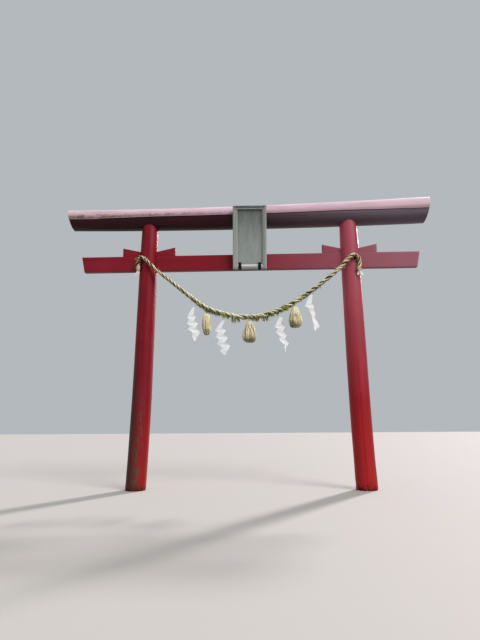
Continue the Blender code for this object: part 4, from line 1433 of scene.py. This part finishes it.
def bundleTree():
    add, given = newTree("strawBundle", ("straws", "seed"), ("strawRadius", "clump", "depth", "wander"))
    line = add("MeshToCurve", {"Mesh": given["Geometry"]})
    copies = add("DuplicateElements", {"Geometry": line, "Amount": given["straws"]}, domain="SPLINE")
    straw = copies.node.outputs["Duplicate Index"]
    marked = add("StoreNamedAttribute", {"Geometry": copies, "Name": "straw", "Value": straw}, data_type="INT")
    straw = add("InputNamedAttribute", {"Name": "straw"}, data_type="INT")
    golden = add("Math multiply", [straw, goldenTurn])
    spot = add("SeparateXYZ", [add("InputPosition")]).node.outputs
    # each straw leans a little round the bundle as it comes down
    pull = add("RandomValue", {2: -1.0, 3: 1.0, "ID": straw, "Seed": given["seed"]})
    pull = add("Math multiply", [pull, given["wander"]])
    pull = add("Math multiply", [spot["Z"], pull])
    angle = add("Math multiply_add", [pull, 4.0, golden])
    cosine = add("Math cosine", [angle])
    sine = add("Math sine", [angle])
    high = add("Math multiply", [spot["Z"], 1.3])
    place = add("CombineXYZ", [cosine, sine, high])
    place = add("VectorMath add", [place, add("CombineXYZ", [given["seed"]])])
    lump = add("TexNoise", {"Vector": place, "Scale": 3.4, "Detail": 2.0})
    swell = add("MapRange", [lump, 0.3, 0.7, -1.0, 1.0])
    swell = add("Math multiply_add", [swell, given["clump"], 1.0])
    layer = add("RandomValue", {2: 0.0, 3: 1.0, "ID": straw, "Seed": 31})
    inward = add("Math multiply", [layer, given["depth"]])
    girth = add("Math subtract", [swell, inward])
    girth = add("Math multiply", [girth, spot["X"]])
    x = add("Math multiply", [cosine, girth])
    y = add("Math multiply", [sine, girth])
    shorter = add("RandomValue", {2: 0.94, 3: 1.0, "ID": straw, "Seed": 17})
    z = add("Math multiply", [spot["Z"], shorter])
    placed = add("CombineXYZ", [x, y, z])
    # painted light and shade on the clumps: the straws are paler where a clump swells out and darker in the dips
    tone = add("RandomValue", {2: 0.1, 3: 0.6, "ID": straw, "Seed": 23})
    tone = add("Math multiply_add", [swell, -0.45, tone])
    gap = add("MapRange", [lump, 0.45, 0.33, 0.0, 0.75])
    wet = add("MapRange", [spot["Z"], -0.27, -0.35, 0.0, 0.42])  # darker towards the bottom
    gap = add("Math add", [gap, wet])
    marked = add("StoreNamedAttribute", {"Geometry": marked, "Name": "hollow", "Value": gap})
    marked = add("StoreNamedAttribute", {"Geometry": marked, "Name": "tone", "Value": tone})
    moved = add("SetPosition", {"Geometry": marked, "Position": placed})
    outline = add("CurvePrimitiveCircle", {"Resolution": 5, "Radius": given["strawRadius"]})
    body = add("CurveToMesh", {"Curve": moved, "Profile Curve": outline, "Fill Caps": True})
    body = add("SetShadeSmooth", {"Geometry": body})
    return closeTree(add, given, body)


def tasselProfile(sizes):  # distance from the middle and height below the top, round the curl at the bottom
    length, half = sizes["length"], sizes["width"] / 2
    outline = tassels[sizes["outline"]]
    points = [(eased(outline, share, 0.5) * half, -share * length) for share in spread(0.0, 1.0, 24)]
    points += [(0.34 * half, -1.005 * length), (0.22 * half, -0.985 * length), (0.17 * half, -0.93 * length)]
    return points


strawBundle = bundleTree()


def makeTassel(name):
    sizes = tassels[name]
    hold = ropeAt(sizes["x"])
    top = hold.z - tassels["top"] - sizes["neck"]
    profile = tasselProfile(sizes)
    line = lineMesh("tasselLine", [Vector((r - tassels["strawRadius"], 0, z)) for r, z in profile])
    count = int(tassels["straws"] * sizes["width"] / tassels["middle"]["width"]) + 20
    values = {**tassels, **sizes, "straws": count, "Material": finishes["tasselStraw"]}
    straws = grownPiece("straws", line, strawBundle, values)
    straws.data.transform(Matrix.Translation((hold.x, hold.y, top)))
    core = []
    for r, z in profile[:24]:
        wide = max(r * tassels["core"], 0.003)
        turns = spread(0.0, 2 * math.pi, 25)[:-1]
        core.append([Vector((hold.x + wide * math.cos(t), hold.y + wide * math.sin(t), top + z)) for t in turns])
    shade = {"tone": [-0.4] * (len(core) * 24)}
    pieces = [straws, loftPiece("core", core, finishes["tasselStraw"], 60.0, shade)]
    loop = [Vector((hold.x + 0.004 * math.sin(i), hold.y, hold.z - (hold.z - top + 0.02) * i / 9)) for i in range(10)]
    shade = {"tone": [0.4] * (10 * 10)}
    pieces.append(loftPiece("loop", tubeRings(loop, tassels["loopRadius"], 10), finishes["tasselStraw"], 60.0, shade))
    return onGate(joinedPiece("tassel." + name, pieces), "straw", "tassel_" + name)


for name in ("left", "middle", "right"):
    makeTassel(name)
print("tassels hung")


# The paper streamers: one sheet each, cut from both sides and folded over and down

streamers = {
    "thickness": 0.0010,
    "foldDepth": 0.014,
    "creases": 0.0030,
    "across": 9,
    "down": 5,
    "string": 0.0024,
    "stringLap": 0.02,
    # each streamer: place along the rope, length of its string, how far its tip bends forward, and its cut edges
    # from the top down as left and right points at each fold, across and up in millimetres from its top
    "streamer.1": {
        "node": "shide_1", "x": 0.901, "stem": 0.069, "curl": 0.012,
        "folds": (
            (-22, -3, 17, -7), (-122, -179, -17, -136), (-88, -210, 27, -176), (-123, -284, -1, -238),
            (-67, -322, 68, -288), (-106, -384, 22, -364), (-24, -435, 109, -425), (-32, -507, 70, -497),
            (11, -583, 22, -580),
        ),
    },
    "streamer.2": {
        "node": "shide_2", "x": 1.397, "stem": 0.058, "curl": -0.010,
        "folds": (
            (-20, -1, 18, -32), (-149, -182, -40, -136), (-100, -222, 30, -187), (-143, -290, -10, -259),
            (-75, -336, 67, -308), (-116, -411, 18, -387), (-30, -466, 103, -440), (-68, -531, 64, -522),
            (9, -594, 31, -591),
        ),
    },
    "streamer.3": {
        "node": "shide_3", "x": 2.349, "stem": 0.078, "curl": 0.016,
        "folds": (
            (-22, -8, 27, -34), (-121, -178, -13, -129), (-61, -208, 57, -187), (-93, -269, 24, -247),
            (-27, -336, 80, -319), (-51, -379, 52, -379), (2, -441, 114, -458), (43, -486, 84, -497),
            (46, -540, 64, -542), (48, -600, 56, -600),
        ),
    },
    "streamer.4": {
        "node": "shide_4", "x": 2.854, "stem": 0.026, "curl": 0.030,
        "folds": (
            (-27, -6, 26, -4), (-112, -198, 2, -147), (-55, -224, 35, -195), (-40, -275, 33, -246),
            (-5, -348, 59, -320), (-1, -393, 46, -387), (17, -469, 80, -453), (26, -553, 124, -548),
            (40, -625, 51, -625),
        ),
    },
}


def makeStreamer(name):
    sizes = streamers[name]
    hold = ropeAt(sizes["x"])
    top = Vector((sizes["x"], hold.y, hold.z - rope["diameter"] / 2 - sizes["stem"]))
    folds = [Vector(fold) / 1000 for fold in sizes["folds"]]
    drop = -folds[-1].y
    rings = []
    for i, (high, low) in enumerate(zip(folds, folds[1:])):
        last = i == len(folds) - 2
        for step in range(streamers["down"] + last):
            share = step / streamers["down"]
            row = high.lerp(low, share)
            # the sheet turns a little to one side at one fold and back at the next one
            tilt = streamers["foldDepth"] * ((-1) ** i * (1 - 2 * share) if i else share)
            front, back = [], []
            for across in spread(0.0, 1.0, streamers["across"]):
                x = row[0] + (row[2] - row[0]) * across
                z = row[1] + (row[3] - row[1]) * across
                depth = tilt * (across - 0.5) + sizes["curl"] * (z / drop) ** 2 * (across - 0.3)
                depth += streamers["creases"] * noise.noise(Vector((x * 16, z * 16, sizes["x"])))
                front.append(top + Vector((x, depth - streamers["thickness"] / 2, z)))
                back.append(top + Vector((x, depth + streamers["thickness"] / 2, z)))
            rings.append(front + back[::-1])
    pieces = [loftPiece("sheet", rings, finishes["paper"], 35.0)]
    lap = Vector((0, 0, streamers["stringLap"]))
    string = [hold.lerp(top - lap, share) for share in spread(0.0, 1.0, 8)]
    pieces.append(loftPiece("string", tubeRings(string, streamers["string"], 8), finishes["paper"], 60.0))
    return onGate(joinedPiece(name, pieces), "paper", sizes["node"])


for name in ("streamer.1", "streamer.2", "streamer.3", "streamer.4"):
    makeStreamer(name)
print("streamers hung")

# Floor, background and light: a pale studio

studio = {
    "floorSize": 60.0,
    "floor": "#a9a8a4",
    "floorBounce": "#5c5b57",
    "background": "#b3b9bc",
    "fill": 0.52,
    "key": {"strength": 2.3, "angle": 30.0, "from": (2.2, -2.3, 2.7), "tint": (1.0, 0.985, 0.965)},
    "rim": {"strength": 2.2, "angle": 6.0, "from": (1.6, 2.4, 2.6), "tint": (1.0, 0.93, 0.96)},
    "edge": {"strength": 1.7, "angle": 4.0, "from": (1.5, 2.3, 1.0), "tint": (1.0, 0.80, 0.86)},
}


def makeFloor():
    half = studio["floorSize"] / 2
    centre = gate["postSpacing"] / 2
    mesh = bpy.data.meshes.new("floor")
    mesh.from_pydata(
        [(centre - half, -half, 0), (centre + half, -half, 0), (centre + half, half, 0), (centre - half, half, 0)],
        [],
        [(0, 1, 2, 3)],
    )
    material, add = newMaterial("paleFloor", 0.85)
    seen = add("LightPath", out="Is Diffuse Ray")
    spots = add("TexNoise", {"Vector": stretched(add, 0.6, 0.6, 0), "Detail": 3.0})
    spots = add("MapRange", [spots, 0.0, 1.0, 0.97, 1.0])
    colour = add("Mix", {0: seen, 6: studio["floor"], 7: studio["floorBounce"]})
    colour = add("VectorMath scale", {0: colour, "Scale": spots})
    mesh.materials.append(coatWith(material, {"Base Color": colour}))
    addObject("floor", mesh)


def makeWorld():
    world = bpy.data.worlds.new("studio")
    bpy.context.scene.world = world
    world.use_nodes = True
    tree = world.node_tree
    add = partial(addNode, tree)
    light = tree.nodes["Background"]
    light.inputs["Color"].default_value = (1, 1, 1, 1)
    light.inputs["Strength"].default_value = studio["fill"]
    shown = add("Background", {"Color": studio["background"], "Strength": 1.0})
    path = add("LightPath").node.outputs
    seen = add("Math maximum", [path["Is Camera Ray"], path["Is Glossy Ray"]])
    seen = add("Math maximum", [seen, path["Is Transmission Ray"]])
    mixed = add("MixShader", [seen, light.outputs[0], shown])
    tree.links.new(mixed, tree.nodes["World Output"].inputs["Surface"])


def makeSun(name, look):
    data = bpy.data.lights.new(name, "SUN")
    data.energy = look["strength"]
    data.angle = math.radians(look["angle"])
    data.color = look["tint"]
    made = addObject(name, data)
    made.matrix_world = Vector(look["from"]).to_track_quat("Z", "Y").to_matrix().to_4x4()


makeFloor()
makeWorld()
makeSun("keyLight", studio["key"])
makeSun("rimLight", studio["rim"])
makeSun("edgeLight", studio["edge"])
bpy.context.scene.view_settings.view_transform = "Standard"
print("studio lit")
